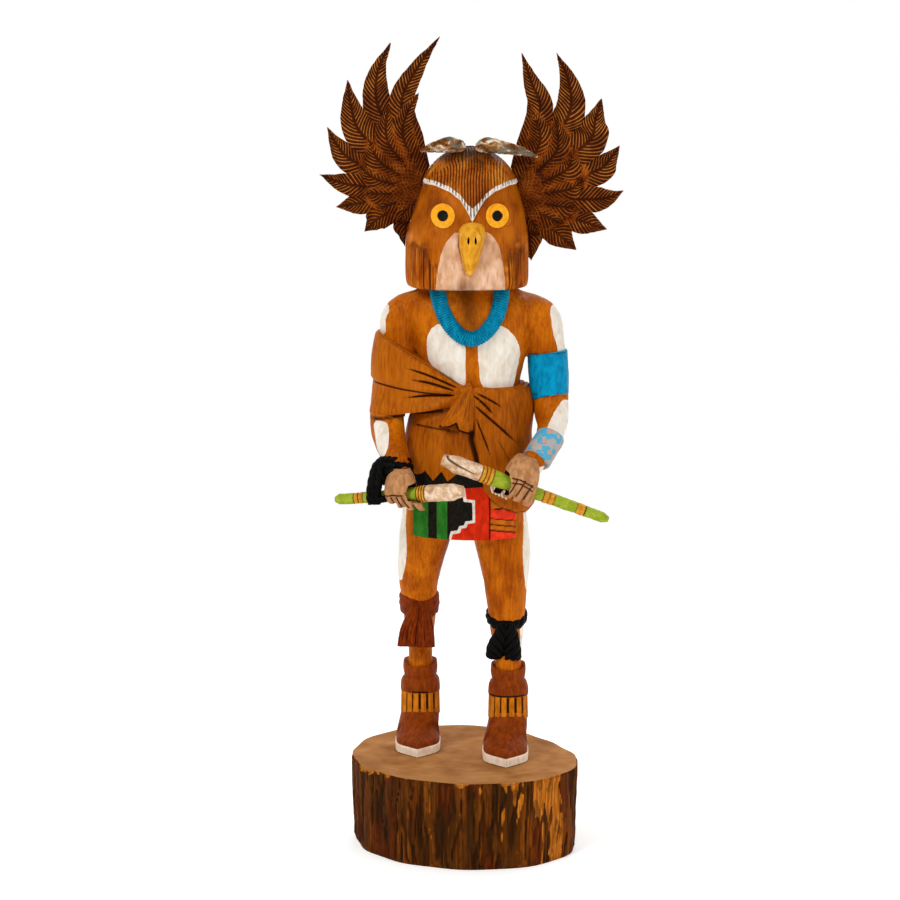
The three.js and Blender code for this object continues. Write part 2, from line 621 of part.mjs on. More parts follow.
function fan(root, feathers) {
  const long = feathers.map((row, i) => feather(root, row, FAN_Y + (i % 2 ? 0.6 : -0.4), 1, FAN_HALF_THICK));
  const short = feathers.slice(0, 7).map((row, i) => {
    const next = feathers[i + 1];
    const between = row.map((value, k) => (value + next[k]) / 2);
    return feather(root, between, FAN_Y - 1.7, SHORT_ROW, FAN_HALF_THICK * 0.8);
  });
  const web = prism([root, ...feathers.map(([, , x, z]) => [lerp(root[0], x, 0.9), lerp(root[1], z, 0.9)])],
    FAN_Y - FAN_HALF_THICK * 0.7, FAN_Y + FAN_HALF_THICK * 0.7);
  return join(web, ...long, ...short).subtract(maskRoom(GAP * 1.5));
}

// A short plump feather lying over the crown, from the middle out to its tip.
function crownFeather([innerX, innerZ], [bulbX, bulbZ], [tipX, tipZ]) {
  const y = 0.4;
  return loft([
    { at: [innerX, y, innerZ], wide: 1, front: 1.2 },
    { at: [lerp(innerX, bulbX, 0.6), y, lerp(innerZ, bulbZ, 0.7)], wide: 3, front: 2.8 },
    { at: [bulbX, y, bulbZ], wide: 3.6, front: 3.2 },
    { at: [lerp(bulbX, tipX, 0.6), y, lerp(bulbZ, tipZ, 0.45)], wide: 2.6, front: 2.4 },
    { at: [tipX, y, tipZ], wide: 0.6, front: 0.7 },
  ], { sides: 8, levels: 6, follow: [0, 0, 1] }).subtract(maskRoom(GAP));
}

// ---- the doll ---------------------------------------------------------------------
const paint = (color, roughness) => new THREE.MeshStandardMaterial({ color, roughness, metalness: 0 });
const BARK = paint('#6b4a2c', 0.9);
const CARVED = paint('#b0611c', 0.6);
const BEAK_YELLOW = paint('#d9a21e', 0.5);
const FEATHER = paint('#8a4a1c', 0.7);
const CROWN_FEATHER = paint('#d8cbb8', 0.75);
const WAND_GREEN = paint('#8ea02e', 0.55);

const group = new THREE.Group();
group.name = 'kachina_doll';

function piece(name, solid, material, sliver = SLIVER) {
  const mesh = new THREE.Mesh(toGeometry(solid, sliver), material);
  mesh.name = name;
  group.add(mesh);
}

piece('log_base', logSlice(), BARK);
piece('figure', figure(), CARVED);
piece('beak', beak(), BEAK_YELLOW);
piece('feather_fan_right', fan(FAN_ROOTS.right, RIGHT_FAN), FEATHER, FINE_SLIVER);
piece('feather_fan_left', fan(FAN_ROOTS.left, LEFT_FAN), FEATHER, FINE_SLIVER);
piece('crown_feather_right', crownFeather([-0.5, 345], [-9, 346], [-22.4, 343]), CROWN_FEATHER);
piece('crown_feather_left', crownFeather([4.4, 345], [12, 345.6], [34.6, 340.2]), CROWN_FEATHER);
piece('wand_right', wand(RIGHT_WAND), WAND_GREEN);
piece('wand_left', wand(LEFT_WAND), WAND_GREEN);

export default group;
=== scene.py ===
"""Looks of a carved kachina doll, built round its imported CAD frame.

Shapes are worked out in millimetres in the row frame: +Z up, the figure faces -Y, and the
origin is the middle of the log's underside. "right" and "left" are the figure's own, so
its right hand is on the -X side. Each piece keeps the form of the CAD node it stands for,
and adds the finer carving. Painted borders are signed distances, in millimetres, kept in
the mesh as attributes, so that the shader can draw a crisp brushed edge between vertices.
"""
import math

import bpy
import numpy as np
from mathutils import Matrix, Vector


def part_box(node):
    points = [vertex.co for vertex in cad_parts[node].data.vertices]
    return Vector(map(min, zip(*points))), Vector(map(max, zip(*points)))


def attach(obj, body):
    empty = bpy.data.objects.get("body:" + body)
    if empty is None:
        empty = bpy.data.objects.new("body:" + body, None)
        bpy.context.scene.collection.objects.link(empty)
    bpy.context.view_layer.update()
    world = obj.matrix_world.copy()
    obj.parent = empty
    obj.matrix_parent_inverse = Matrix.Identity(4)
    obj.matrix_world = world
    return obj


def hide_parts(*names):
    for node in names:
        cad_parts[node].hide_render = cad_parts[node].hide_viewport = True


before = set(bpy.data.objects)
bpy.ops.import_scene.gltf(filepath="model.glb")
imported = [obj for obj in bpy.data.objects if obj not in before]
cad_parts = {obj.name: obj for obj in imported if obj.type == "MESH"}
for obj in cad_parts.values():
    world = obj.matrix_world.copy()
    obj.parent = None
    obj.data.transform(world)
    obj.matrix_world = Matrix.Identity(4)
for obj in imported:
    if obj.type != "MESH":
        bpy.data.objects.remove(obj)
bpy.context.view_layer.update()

MM = 0.001


def node_box(node):
    """Lowest and highest corners of a CAD node, in millimetres."""
    low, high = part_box(node)
    return np.array(low) / MM, np.array(high) / MM


# ---- driving dimensions ---------------------------------------------------------------
BODY_Y = 8.0
LOG_TOP = node_box("log_base")[1][2]
MASK_TURN = math.radians(4)
FACE_MIDDLE = 1.7
BROW_SIDE = 327.0
BROW_POINT = 310.0
EYE_HEIGHT = 313.0
EYE_SPREAD = 13.2
EYE_RADIUS = 5.9
EYE_LEAN = math.radians(14)
EYE_Y = BODY_Y - 18.0
PUPIL_RADIUS = 2.7
WAIST = 229.0
KILT_HEM = 152.5
SOLE = LOG_TOP + 0.3
SOLE_THICK = 3.9
KNOT = (1.8, 228.0)  # x and z of its middle


# ---- numbers: splines, noise and distances --------------------------------------------
def smooth(low, high, value):
    """0 below `low`, 1 above `high`, smooth between."""
    share = np.clip((value - low) / (high - low), 0, 1)
    return share * share * (3 - 2 * share)


def spline(rows, places):
    """Catmull-Rom through the rows, at places from 0 to 1."""
    rows = np.asarray(rows, float)
    padded = np.vstack([2 * rows[0] - rows[1], rows, 2 * rows[-1] - rows[-2]])
    at = np.clip(places, 0, 1) * (len(rows) - 1)
    i = np.minimum(at.astype(int), len(rows) - 2)
    f = (at - i)[:, None]
    a, b, c, d = padded[i], padded[i + 1], padded[i + 2], padded[i + 3]
    return b + 0.5 * f * (c - a + f * (2 * a - 5 * b + 4 * c - d + f * (3 * (b - c) + d - a)))


def straight(rows, places):
    """Straight runs between the rows, at places from 0 to 1."""
    rows = np.asarray(rows, float)
    at = np.clip(places, 0, 1) * (len(rows) - 1)
    i = np.minimum(at.astype(int), len(rows) - 2)
    f = (at - i)[:, None]
    return rows[i] * (1 - f) + rows[i + 1] * f


NOISE_SIDE = 32
NOISE = np.random.default_rng(7).random((NOISE_SIDE,) * 3) * 2 - 1


def noise(points, size, seed):
    """Smooth noise from -1 to 1. `size` is the spacing of its bumps, one number or three."""
    at = np.asarray(points) / size + seed * 7.31
    cell = np.floor(at).astype(int)
    f = at - cell
    f = f * f * (3 - 2 * f)
    total = 0
    for corner in np.ndindex(2, 2, 2):
        share = np.prod(np.where(np.array(corner), f, 1 - f), axis=-1)
        i = (cell + corner) % NOISE_SIDE
        total = total + share * NOISE[i[..., 0], i[..., 1], i[..., 2]]
    return total


def rough(points, size, seed, layers=3):
    """Layered noise, each layer half the size and half the height of the last."""
    return sum(noise(points, np.asarray(size) / 2 ** k, seed + k) / 2 ** k for k in range(layers))


def curve(points, loop=False, per=8):
    """A smooth line through given points, `per` steps from each to the next."""
    points = np.asarray(points, float)
    if loop:
        points = np.vstack([points[-2:], points, points[:3]])
    count = (len(points) - 1) * per
    line = spline(points, np.linspace(0, 1, count + 1))
    return line[2 * per:-2 * per - 1] if loop else line


def to_segments(points, line):
    """Distance from each point to each stretch of a line, and how far along it the foot lies."""
    start, run = line[:-1], np.diff(line, axis=0)
    away = points[:, None, :] - start
    share = np.clip((away * run).sum(-1) / np.maximum((run * run).sum(-1), 1e-9), 0, 1)
    return np.linalg.norm(away - share[..., None] * run, axis=-1), share


def line_distance(points, line):
    """Distance from each point to a line, and the place of the foot along it from 0 to 1."""
    line = np.asarray(line, float)
    far, share = to_segments(points, line)
    best = far.argmin(1)
    rows = np.arange(len(points))
    return far[rows, best], (best + share[rows, best]) / (len(line) - 1)


def inside(points, outline):
    """Signed distance to a closed outline, positive inside."""
    outline = np.asarray(outline, float)
    ring = np.vstack([outline, outline[:1]])
    far = to_segments(points, ring)[0].min(1)
    x, z = points[:, :1], points[:, 1:]
    (x1, z1), (x2, z2) = ring[:-1].T, ring[1:].T
    with np.errstate(divide="ignore", invalid="ignore"):
        crossing = ((z1 > z) != (z2 > z)) & (x < (x2 - x1) * (z - z1) / (z2 - z1) + x1)
    return np.where(crossing.sum(1) % 2 == 1, far, -far)


def grid_inside(x, z, outline):
    """The same for a grid of places in front view."""
    flat = np.column_stack([np.ravel(x), np.ravel(z)])
    return inside(flat, outline).reshape(np.shape(x))


# ---- meshes ---------------------------------------------------------------------------
def turns(sides, front=1.0):
    """Angles round a ring from the front, towards +X. `front` above 1 crowds them to the front."""
    even = np.arange(sides) / sides * 2 - 1
    return math.pi * np.sign(even) * np.abs(even) ** front


def rings(rows, angles, levels, side=None, path=spline, grow=0.0, ends=1.0):
    """A closed body's points, ring by ring: an array of levels + 1 rings.

    A row is x, y, z, half width, front depth, back depth, power. Rings lie level, or square
    to the path where `side` gives the direction that the width lies along. `grow` widens
    every ring, and `ends` above 1 crowds the rings to the two ends.
    """
    places = np.linspace(0, 1, levels + 1)
    if ends != 1.0:
        places = 0.5 - 0.5 * np.sign(0.5 - places) * np.abs(1 - 2 * places) ** ends
    found = path(rows, places)
    centre, wide, front, back, power = found[:, :3], *found[:, 3:].T
    if side is None:
        tangent = np.tile([0.0, 0.0, 1.0], (len(centre), 1))
        across = np.tile([1.0, 0.0, 0.0], (len(centre), 1))
    else:
        tangent = np.gradient(centre, axis=0)
        tangent /= np.linalg.norm(tangent, axis=1, keepdims=True)
        across = np.asarray(side, float) - tangent * (tangent @ np.asarray(side, float))[:, None]
        across /= np.linalg.norm(across, axis=1, keepdims=True)
    deep = np.cross(across, tangent)
    sin, cos = np.sin(angles)[None, :], np.cos(angles)[None, :]
    power = np.maximum(power, 1.5)[:, None]
    reach = (np.abs(sin) ** power + np.abs(cos) ** power) ** (-1 / power)
    u = sin * reach * (wide[:, None] + grow)
    v = cos * reach * (np.where(cos > 0, front[:, None], back[:, None]) + grow)
    return centre[:, None, :] + u[..., None] * across[:, None, :] + v[..., None] * deep[:, None, :]


def round_rows(rows):
    """Rows of round rings, from x, y, z and radius."""
    return [(*row, row[3], row[3], 2) for row in rows]


def outward(grid):
    """Unit normals of a ring grid."""
    around = np.roll(grid, -1, axis=1) - np.roll(grid, 1, axis=1)
    along = np.gradient(grid, axis=0)
    normal = np.cross(around, along)
    length = np.linalg.norm(normal, axis=2, keepdims=True)
    return normal / np.maximum(length, 1e-9)


def raised(grid, height):
    """The grid moved out by `height`, all but its two end rings."""
    fade = np.ones(len(grid))
    fade[[0, -1]] = 0
    return grid + outward(grid) * (height * fade[:, None])[..., None]


def closed(grid):
    """Points and faces of a ring grid with its two ends capped."""
    levels, sides, _ = grid.shape
    points = np.vstack([grid.reshape(-1, 3), grid[0].mean(0), grid[-1].mean(0)])
    i, j = np.meshgrid(np.arange(levels - 1), np.arange(sides), indexing="ij")
    k = (j + 1) % sides
    quads = np.stack([i * sides + j, i * sides + k, (i + 1) * sides + k, (i + 1) * sides + j], -1)
    j = np.arange(sides)
    k = (j + 1) % sides
    foot, head = levels * sides, levels * sides + 1
    bottom = np.stack([np.full(sides, foot), k, j], -1)
    top = np.stack([np.full(sides, head), j + (levels - 1) * sides, k + (levels - 1) * sides], -1)
    return points, quads.reshape(-1, 4).tolist() + bottom.tolist() + top.tolist()


def merged(*solids):
    """Several points-and-faces pairs as one."""
    points, faces, count = [], [], 0
    for solid_points, solid_faces in solids:
        points.append(solid_points)
        faces += [[corner + count for corner in face] for face in solid_faces]
        count += len(solid_points)
    return np.vstack(points), faces


def make(name, solid, material=None):
    """A mesh object from points in millimetres and faces."""
    points, faces = solid
    mesh = bpy.data.meshes.new(name)
    mesh.from_pydata((np.asarray(points) * MM).tolist(), [], faces)
    mesh.validate()
    piece = bpy.data.objects.new(name, mesh)
    bpy.context.scene.collection.objects.link(piece)
    if material:
        mesh.materials.append(material)
    return piece


def places(piece):
    """The piece's vertices, in millimetres."""
    found = np.empty(len(piece.data.vertices) * 3)
    piece.data.vertices.foreach_get("co", found)
    return found.reshape(-1, 3) / MM


def facing(piece):
    """The piece's vertex normals."""
    found = np.empty(len(piece.data.vertices) * 3, np.float32)
    piece.data.vertex_normals.foreach_get("vector", found)
    return found.reshape(-1, 3)


def move(piece, points):
    """Puts the piece's vertices at new places, in millimetres."""
    piece.data.vertices.foreach_set("co", (points * MM).ravel())
    piece.data.update()


def settle(piece):
    """Applies the piece's modifiers."""
    graph = bpy.context.evaluated_depsgraph_get()
    mesh = bpy.data.meshes.new_from_object(piece.evaluated_get(graph))
    piece.modifiers.clear()
    old, piece.data = piece.data, mesh
    bpy.data.meshes.remove(old)
    return piece


def combine(piece, other, operation="UNION"):
    """Joins, cuts or trims the piece with another, which is used up."""
    modifier = piece.modifiers.new("combine", "BOOLEAN")
    modifier.operation = operation
    modifier.object = other
    modifier.solver = "MANIFOLD"
    modifier.material_mode = "TRANSFER"
    settle(piece)
    bpy.data.objects.remove(other)
    return piece


def fused(name, solid, voxel, soften, material=None):
    """Overlapping solids melted into one skin."""
    piece = make(name, solid, material)
    modifier = piece.modifiers.new("fuse", "REMESH")
    modifier.mode = "VOXEL"
    modifier.voxel_size = voxel * MM
    settle(piece)
    modifier = piece.modifiers.new("soften", "SMOOTH")
    modifier.factor = 0.5
    modifier.iterations = soften
    return settle(piece)


def thinned(piece, triangles, where=None):
    """The piece with about this many triangles at most, thinned only at the chosen vertices."""
    piece.data.calc_loop_triangles()
    modifier = piece.modifiers.new("thin", "DECIMATE")
    modifier.ratio = min(1, triangles / len(piece.data.loop_triangles))
    if where is not None:
        group = piece.vertex_groups.new(name="thin")
        group.add([int(i) for i in np.flatnonzero(where)], 1.0, "REPLACE")
        modifier.vertex_group = "thin"
    settle(piece)
    piece.vertex_groups.clear()
    return piece


def prism(outline, front=-80.0, back=80.0):
    """A straight-sided block whose front view is the outline, as points and faces."""
    outline = np.asarray(outline, float)
    (x1, z1), (x2, z2) = outline.T, np.roll(outline, -1, axis=0).T
    if (x1 * z2 - x2 * z1).sum() < 0:
        outline = outline[::-1]
    count = len(outline)
    near = np.column_stack([outline[:, 0], np.full(count, front), outline[:, 1]])
    far = near + [0, back - front, 0]
    sides = [[(i + 1) % count, i, i + count, (i + 1) % count + count] for i in range(count)]
    caps = [list(range(count)), [*range(2 * count - 1, count - 1, -1)]]
    return np.vstack([near, far]), sides + caps


def paint_line(piece, name, distance):
    """Keeps a painted border's signed distance, or any other number per vertex."""
    attribute = piece.data.attributes.new(name, "FLOAT", "POINT")
    attribute.data.foreach_set("value", np.asarray(distance, np.float32))


def paint_rings(piece, name, values, ends=(0, 0)):
    """The same for a ring grid, with one number more for each of its capped ends."""
    paint_line(piece, name, np.concatenate([np.ravel(values), ends]))


CREASE = 50  # degrees; an edge that turns more than this stays crisp
BARK_CREASE = 42


def finish(piece, crease, *nodes):
    """Smooth shading with crisp carved edges, and the CAD nodes that the piece stands for."""
    piece.data.validate()
    piece.data.shade_smooth()
    piece.data.set_sharp_from_angle(angle=math.radians(crease))
    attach(piece, "root")
    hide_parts(*nodes)
    return piece


# ---- shaders --------------------------------------------------------------------------
SHINE = 0.05  # specular level of the matt paint, stain and bark
BORDER_SOFT = 0.12  # half width of a painted border's soft edge
WOBBLE_SIZE = 2.5
OUTSIDE = -9.0  # a border's distance where its paint can't reach


def linear(code):
    """A #rrggbb colour as linear red, green, blue and alpha."""
    values = [int(code[i:i + 2], 16) / 255 for i in (1, 3, 5)]
    curve_down = [v / 12.92 if v <= 0.04045 else ((v + 0.055) / 1.055) ** 2.4 for v in values]
    return (*curve_down, 1.0)


class Shader:
    """A Principled material, built node by node from object coordinates and attributes."""

    def __init__(self, name, roughness):
        self.material = bpy.data.materials.new(name)
        self.material.use_nodes = True
        self.tree = self.material.node_tree
        self.surface = self.tree.nodes["Principled BSDF"]
        self.surface.inputs["Roughness"].default_value = roughness
        self.surface.inputs["Specular IOR Level"].default_value = SHINE
        self.spot = self.node("ShaderNodeTexCoord").outputs["Object"]

    def node(self, kind, **settings):
        """A new node with its settings."""
        made = self.tree.nodes.new(kind)
        for key, value in settings.items():
            setattr(made, key, value)
        return made

    def feed(self, socket, value):
        """Gives a socket a link, a #rrggbb colour or a plain value."""
        if isinstance(value, bpy.types.NodeSocket):
            self.tree.links.new(value, socket)
        elif isinstance(value, str):
            socket.default_value = linear(value)
        else:
            socket.default_value = value

    def attribute(self, name):
        """A number kept on the mesh."""
        return self.node("ShaderNodeAttribute", attribute_name=name).outputs["Fac"]

    def math(self, operation, first, second):
        """Two numbers put together."""
        made = self.node("ShaderNodeMath", operation=operation)
        self.feed(made.inputs[0], first)
        self.feed(made.inputs[1], second)
        return made.outputs[0]

    def share(self, first, part, second):
        """A mean of two numbers, `part` of it from the first."""
        return self.math("ADD", self.math("MULTIPLY", first, part), self.math("MULTIPLY", second, 1 - part))

    def noise(self, size, detail, distortion=0.0):
        """Noise from 0 to 1. `size` is that of its marks in millimetres, one number or three."""
        scale = self.node("ShaderNodeMapping", vector_type="POINT")
        scale.inputs["Scale"].default_value = 1 / (MM * np.broadcast_to(size, 3))
        self.feed(scale.inputs["Vector"], self.spot)
        made = self.node("ShaderNodeTexNoise")
        made.inputs["Scale"].default_value = 1.0
        made.inputs["Detail"].default_value = detail
        made.inputs["Distortion"].default_value = distortion
        self.feed(made.inputs["Vector"], scale.outputs[0])
        return made.outputs["Fac"]

    def step(self, value, low, high):
        """0 below `low`, 1 above `high`, smooth between."""
        made = self.node("ShaderNodeMapRange", interpolation_type="SMOOTHSTEP")
        self.feed(made.inputs["Value"], value)
        made.inputs["From Min"].default_value = low
        made.inputs["From Max"].default_value = high
        return made.outputs["Result"]

    def mix(self, share, first, second):
        """The first colour where `share` is 0, the second where it is 1."""
        made = self.node("ShaderNodeMix", data_type="RGBA")
        self.feed(made.inputs["Factor"], share)
        self.feed(made.inputs[6], first)
        self.feed(made.inputs[7], second)
        return made.outputs[2]

    def tint(self, below, share, strength, colour):
        """`colour` over `below`, at `strength` where `share` is 1."""
        return self.mix(self.math("MULTIPLY", share, strength), below, colour)

    def ramp(self, value, stops):
        """A colour read off a row of stops, each a place from 0 to 1 and a colour."""
        made = self.node("ShaderNodeValToRGB")
        elements = made.color_ramp.elements
        while len(elements) < len(stops):
            elements.new(0.5)
        for element, (place, code) in zip(elements, stops):
            element.position = place
            element.color = linear(code)
        self.feed(made.inputs["Fac"], value)
        return made.outputs["Color"]

    def done(self, colour):
        """The material, with its finished colour."""
        self.feed(self.surface.inputs["Base Color"], colour)
        return self.material

    def bump(self, height, depth):
        """Bump `depth` millimetres deep, over any bump already there."""
        made = self.node("ShaderNodeBump")
        made.inputs["Strength"].default_value = 1.0
        made.inputs["Distance"].default_value = depth * MM
        self.feed(made.inputs["Height"], height)
        normal = self.surface.inputs["Normal"]
        if normal.is_linked:
            self.feed(made.inputs["Normal"], normal.links[0].from_socket)
        self.feed(normal, made.outputs["Normal"])

    def wobble(self, name, amount, size=WOBBLE_SIZE):
        """A painted border's distance, made a little uneven as a brush leaves it."""
        uneven = self.math("MULTIPLY", self.math("SUBTRACT", self.noise(size, 2), 0.5), 2 * amount)
        return self.math("ADD", self.attribute(name), uneven)

    def layer(self, below, name, colour, amount):
        """Paint over `below`, inside the border kept as attribute `name`."""
        return self.mix(self.step(self.wobble(name, amount), -BORDER_SOFT, BORDER_SOFT), below, colour)


def cut_stain_and_shade(shader, colour, dark, strength=1.0):
    """Dark stain left in the cuts, with painted shade in the cuts and corners; their depth share is kept as
    an attribute.
    """
    return shader.tint(colour, shader.step(shader.attribute("groove"), 0.08, 0.75), strength, dark)


def brushed_paint(shader, main, shade, size=(2.2, 2.2, 5)):
    """A paint colour that varies from stroke to stroke."""
    strokes = shader.noise(size, 4, 0.6)
    return shader.mix(shader.step(strokes, 0.3, 0.7), shade, main)


def painted_wood(name, main, shade, wood, roughness, wear, dark):
    """Matt paint brushed on carved wood, rubbed through here and there, dark in the cuts with stain and
    painted shade.
    """
    shader = Shader(name, roughness)
    colour = brushed_paint(shader, main, shade)
    rubbed = shader.noise((5, 5, 7), 6, 0.2)
    colour = shader.mix(shader.step(rubbed, wear, wear + 0.05), colour, wood)
    colour = cut_stain_and_shade(shader, colour, dark)
    shader.bump(shader.noise((0.9, 0.9, 3), 4), 0.12)
    return shader.done(colour)


# ---- log slice ------------------------------------------------------------------------
LOG_LOBES = [(1, 3.2, 2.1), (2, 5.3, 0.77), (3, 1.3, -1.5), (12, 0.5, 2)]  # count, depth, turn
LOG_RADIUS = 59.0
LOG_TAPER = 1.4
BARK_DEEP = 0.95
GROWTH_RINGS = {"Scale": 38, "Distortion": 5, "Detail": 3, "Detail Scale": 1.2}


def log_slice():
    """Ribbed bark round a sanded top, lobed in plan and a little narrower at its foot."""
    sides, levels, top_rings = 440, 84, 34
    angle = turns(sides)
    outline = LOG_RADIUS + sum(deep * np.sin(count * angle + turn) for count, deep, turn in LOG_LOBES)
    z = np.linspace(0, 1, levels + 1) ** 0.94 * LOG_TOP
    inset = LOG_TAPER * (1 - z / LOG_TOP) + 0.9 * (1 - smooth(0, 2.2, z))
    inset = inset + 0.8 * smooth(LOG_TOP - 1.2, LOG_TOP, z)
    around = np.column_stack([np.sin(angle), -np.cos(angle)])
    wall = np.empty((levels + 1, sides, 3))
    wall[..., :2] = around[None] * (outline[None, :] - inset[:, None])[..., None]
    wall[..., 2] = z[:, None]
    # Bark runs in upright ribs; where it has worn off, strips of smoother wood show.
    rim = np.column_stack([around[:, 0], around[:, 1], np.zeros(sides)]) * LOG_RADIUS
    at = rim[None] + [0, 0, 1] * z[:, None, None]
    lean = at + np.stack([rough(at, 26, 3), rough(at, 26, 5), np.zeros(at.shape[:2])], -1) * 2.2
    furrow = np.abs(rough(lean, (3.2, 3.2, 60), 1))
    ribs = smooth(0.02, 0.36, furrow) * (0.8 + 0.2 * smooth(0.0, 0.3, np.abs(rough(lean, (5, 5, 9), 9, 2))))
    left_front = smooth(-0.1, 0.75, around[:, 0])[None, :] * smooth(-0.3, 0.4, -around[:, 1])[None, :]
    strips = rough(lean, (5, 5, 95), 21, 4) + 0.25 * rough(at, (3, 3, 12), 22, 3)
    bare = smooth(0.0, 0.2, strips - 0.8 + 0.74 * left_front)
    knocks = noise(at, (5, 5, 400), 41)
    rim_wear = knocks + 0.2 * rough(at, (2, 2, 4), 42) - 0.14 * (LOG_TOP - at[..., 2])
    bare = np.maximum(bare, smooth(0.1, 0.35, rim_wear))
    fibre = rough(at, (0.9, 0.9, 16), 31)
    height = (1 - bare) * (ribs - 1) * BARK_DEEP - bare * (0.55 + 0.22 * fibre)
    height = height + 0.25 * rough(at, (9, 9, 9), 12) - 0.15
    chip = smooth(0.25, 0.6, knocks) * smooth(LOG_TOP - 3.5, LOG_TOP - 0.4, at[..., 2])
    height -= 0.9 * chip
    wall = raised(wall, np.minimum(height, 0.3) * smooth(0, 1.5, at[..., 2]))
    # The sanded top: rings of points in to the middle, faintly hollowed by saw and grain.
    share = (1 - np.arange(1, top_rings + 1) / (top_rings + 1))[:, None, None]
    top = np.concatenate([wall[-1][None, :, :2] * share, np.full((top_rings, sides, 1), LOG_TOP)], -1)
    worn = rough(top, (3, 12, 50), 51) * 0.12 + rough(top, 1.1, 52, 2) * 0.05
    top[..., 2] += np.minimum(worn - 0.1, 0) * smooth(0, 0.08, 1 - share[..., 0])
    grid = np.concatenate([wall, top])
    piece = make("log_slice", closed(grid), log_material())
    piece.data.materials.append(sanded_material())
    quads = (len(grid) - 1) * sides
    index = np.zeros(len(piece.data.polygons), np.int32)
    index[levels * sides:quads] = 1
    index[-sides:] = 1
    piece.data.polygons.foreach_set("material_index", index)
    for name, values in (("bare", bare), ("groove", (1 - ribs) * (1 - bare)), ("chip", chip)):
        paint_rings(piece, name, np.concatenate([values, np.zeros(top.shape[:2])]))
    finish(piece, BARK_CREASE, "log_base")


def log_material():
    """Dark ribbed bark, strips of orange wood where it has worn off, pale chips at the rim."""
    shader = Shader("bark", 0.8)
    streaks = shader.noise((1.1, 1.1, 30), 5, 0.3)
    broad = shader.noise((9, 9, 90), 3, 0.2)
    both = shader.share(streaks, 0.5, broad)
    bark = shader.ramp(both, [(0.36, "#241403"), (0.48, "#452303"), (0.58, "#653204"), (0.7, "#8a480a")])
    # Stain and painted shade in the bark's furrows.
    bark = cut_stain_and_shade(shader, bark, "#1c0d02", 0.75)
    red = shader.step(shader.noise((14, 14, 60), 3, 0.4), 0.5, 0.62)
    bark = shader.tint(bark, red, 0.45, "#5e1e02")
    fibres = shader.noise((0.8, 0.8, 14), 4)
    wood = shader.ramp(fibres, [(0.3, "#7a3e06"), (0.5, "#a65a0e"), (0.7, "#cd8630")])
    colour = shader.mix(shader.step(shader.attribute("bare"), 0.3, 0.75), bark, wood)
    dark_marks = shader.step(shader.noise((3.4, 3.4, 11), 5, 0.8), 0.5, 0.64)
    colour = shader.tint(colour, dark_marks, 0.6, "#3a1c05")
    colour = shader.tint(colour, shader.step(shader.attribute("chip"), 0.3, 0.8), 0.8, "#b57c3c")
    shader.bump(streaks, 0.45)
    shader.bump(shader.noise((0.5, 0.5, 2), 3), 0.2)
    return shader.done(colour)


def sanded_material():
    """End grain sanded flat: fine fibres, faint growth rings round the pith, a few dark pores."""
    shader = Shader("sanded_end_grain", 0.72)
    wave = shader.node("ShaderNodeTexWave", wave_type="RINGS", rings_direction="Z")
    for name, value in GROWTH_RINGS.items():
        wave.inputs[name].default_value = value
    shader.feed(wave.inputs["Vector"], shader.spot)
    growth = wave.outputs["Fac"]
    fibres = shader.noise(0.5, 4)
    blotches = shader.noise(14, 4, 0.4)
    colour = shader.ramp(blotches, [(0.3, "#8a5526"), (0.5, "#a26c38"), (0.7, "#b07c47")])
    colour = shader.tint(colour, growth, 0.22, "#8c5a2c")
    colour = shader.tint(colour, shader.step(fibres, 0.58, 0.75), 0.5, "#7b4c22")
    shader.bump(fibres, 0.12)
    shader.bump(growth, 0.05)
    return shader.done(colour)


# ---- feathers -------------------------------------------------------------------------
# Each row is tip x, tip z, middle x, middle z, width at the middle, bow of the outer edge.
RIGHT_FAN = [
    (-13, 398, -31.6, 366, 13, 0.05), (-37, 395, -43, 364, 15.5, 0.11), (-58, 377, -52, 352, 17, 0.05),
    (-68, 354, -56, 338, 14.5, 0.07), (-72, 331, -56, 326, 12, 0.03), (-64, 315, -52, 317, 12, 0),
    (-50, 303, -43, 309.6, 12.5, 0), (-30, 295.4, -29, 306.6, 15, 0),
]
LEFT_FAN = [
    (27, 390, 36, 363, 13.5, 0), (44, 390, 50, 360, 16.5, 0.1), (66, 368, 60, 347.6, 18, 0),
    (75, 345, 64, 333, 15.5, 0.06), (77, 323, 63, 319, 13.5, 0.07), (69, 304, 57, 308, 13.5, 0),
    (54, 294, 45, 302, 14, 0), (32, 288.6, 30.6, 301.6, 15, 0),
]
FAN_Y = 11.0
FAN_HALF_THICK = 2.8
FAN_ROOTS = {"right": (-19, 322), "left": (22, 319)}
SHORT_ROW = 0.66
BARB_SPACING = 2.1
BARB_SLANT = 1.0
BARB_DEEP = 0.5
BLADE_LEVELS = 210
# Shares of a blade's length, and the shares of its width and thickness there.
BLADE_WIDTHS = [0, 0.28, 0.5, 0.66, 0.78, 0.88, 0.95, 1], [0.6, 0.88, 0.96, 0.76, 0.5, 0.27, 0.12, 0.02]
BLADE_DEPTHS = [0, 0.5, 0.8, 1], [1, 0.92, 0.72, 0.3]


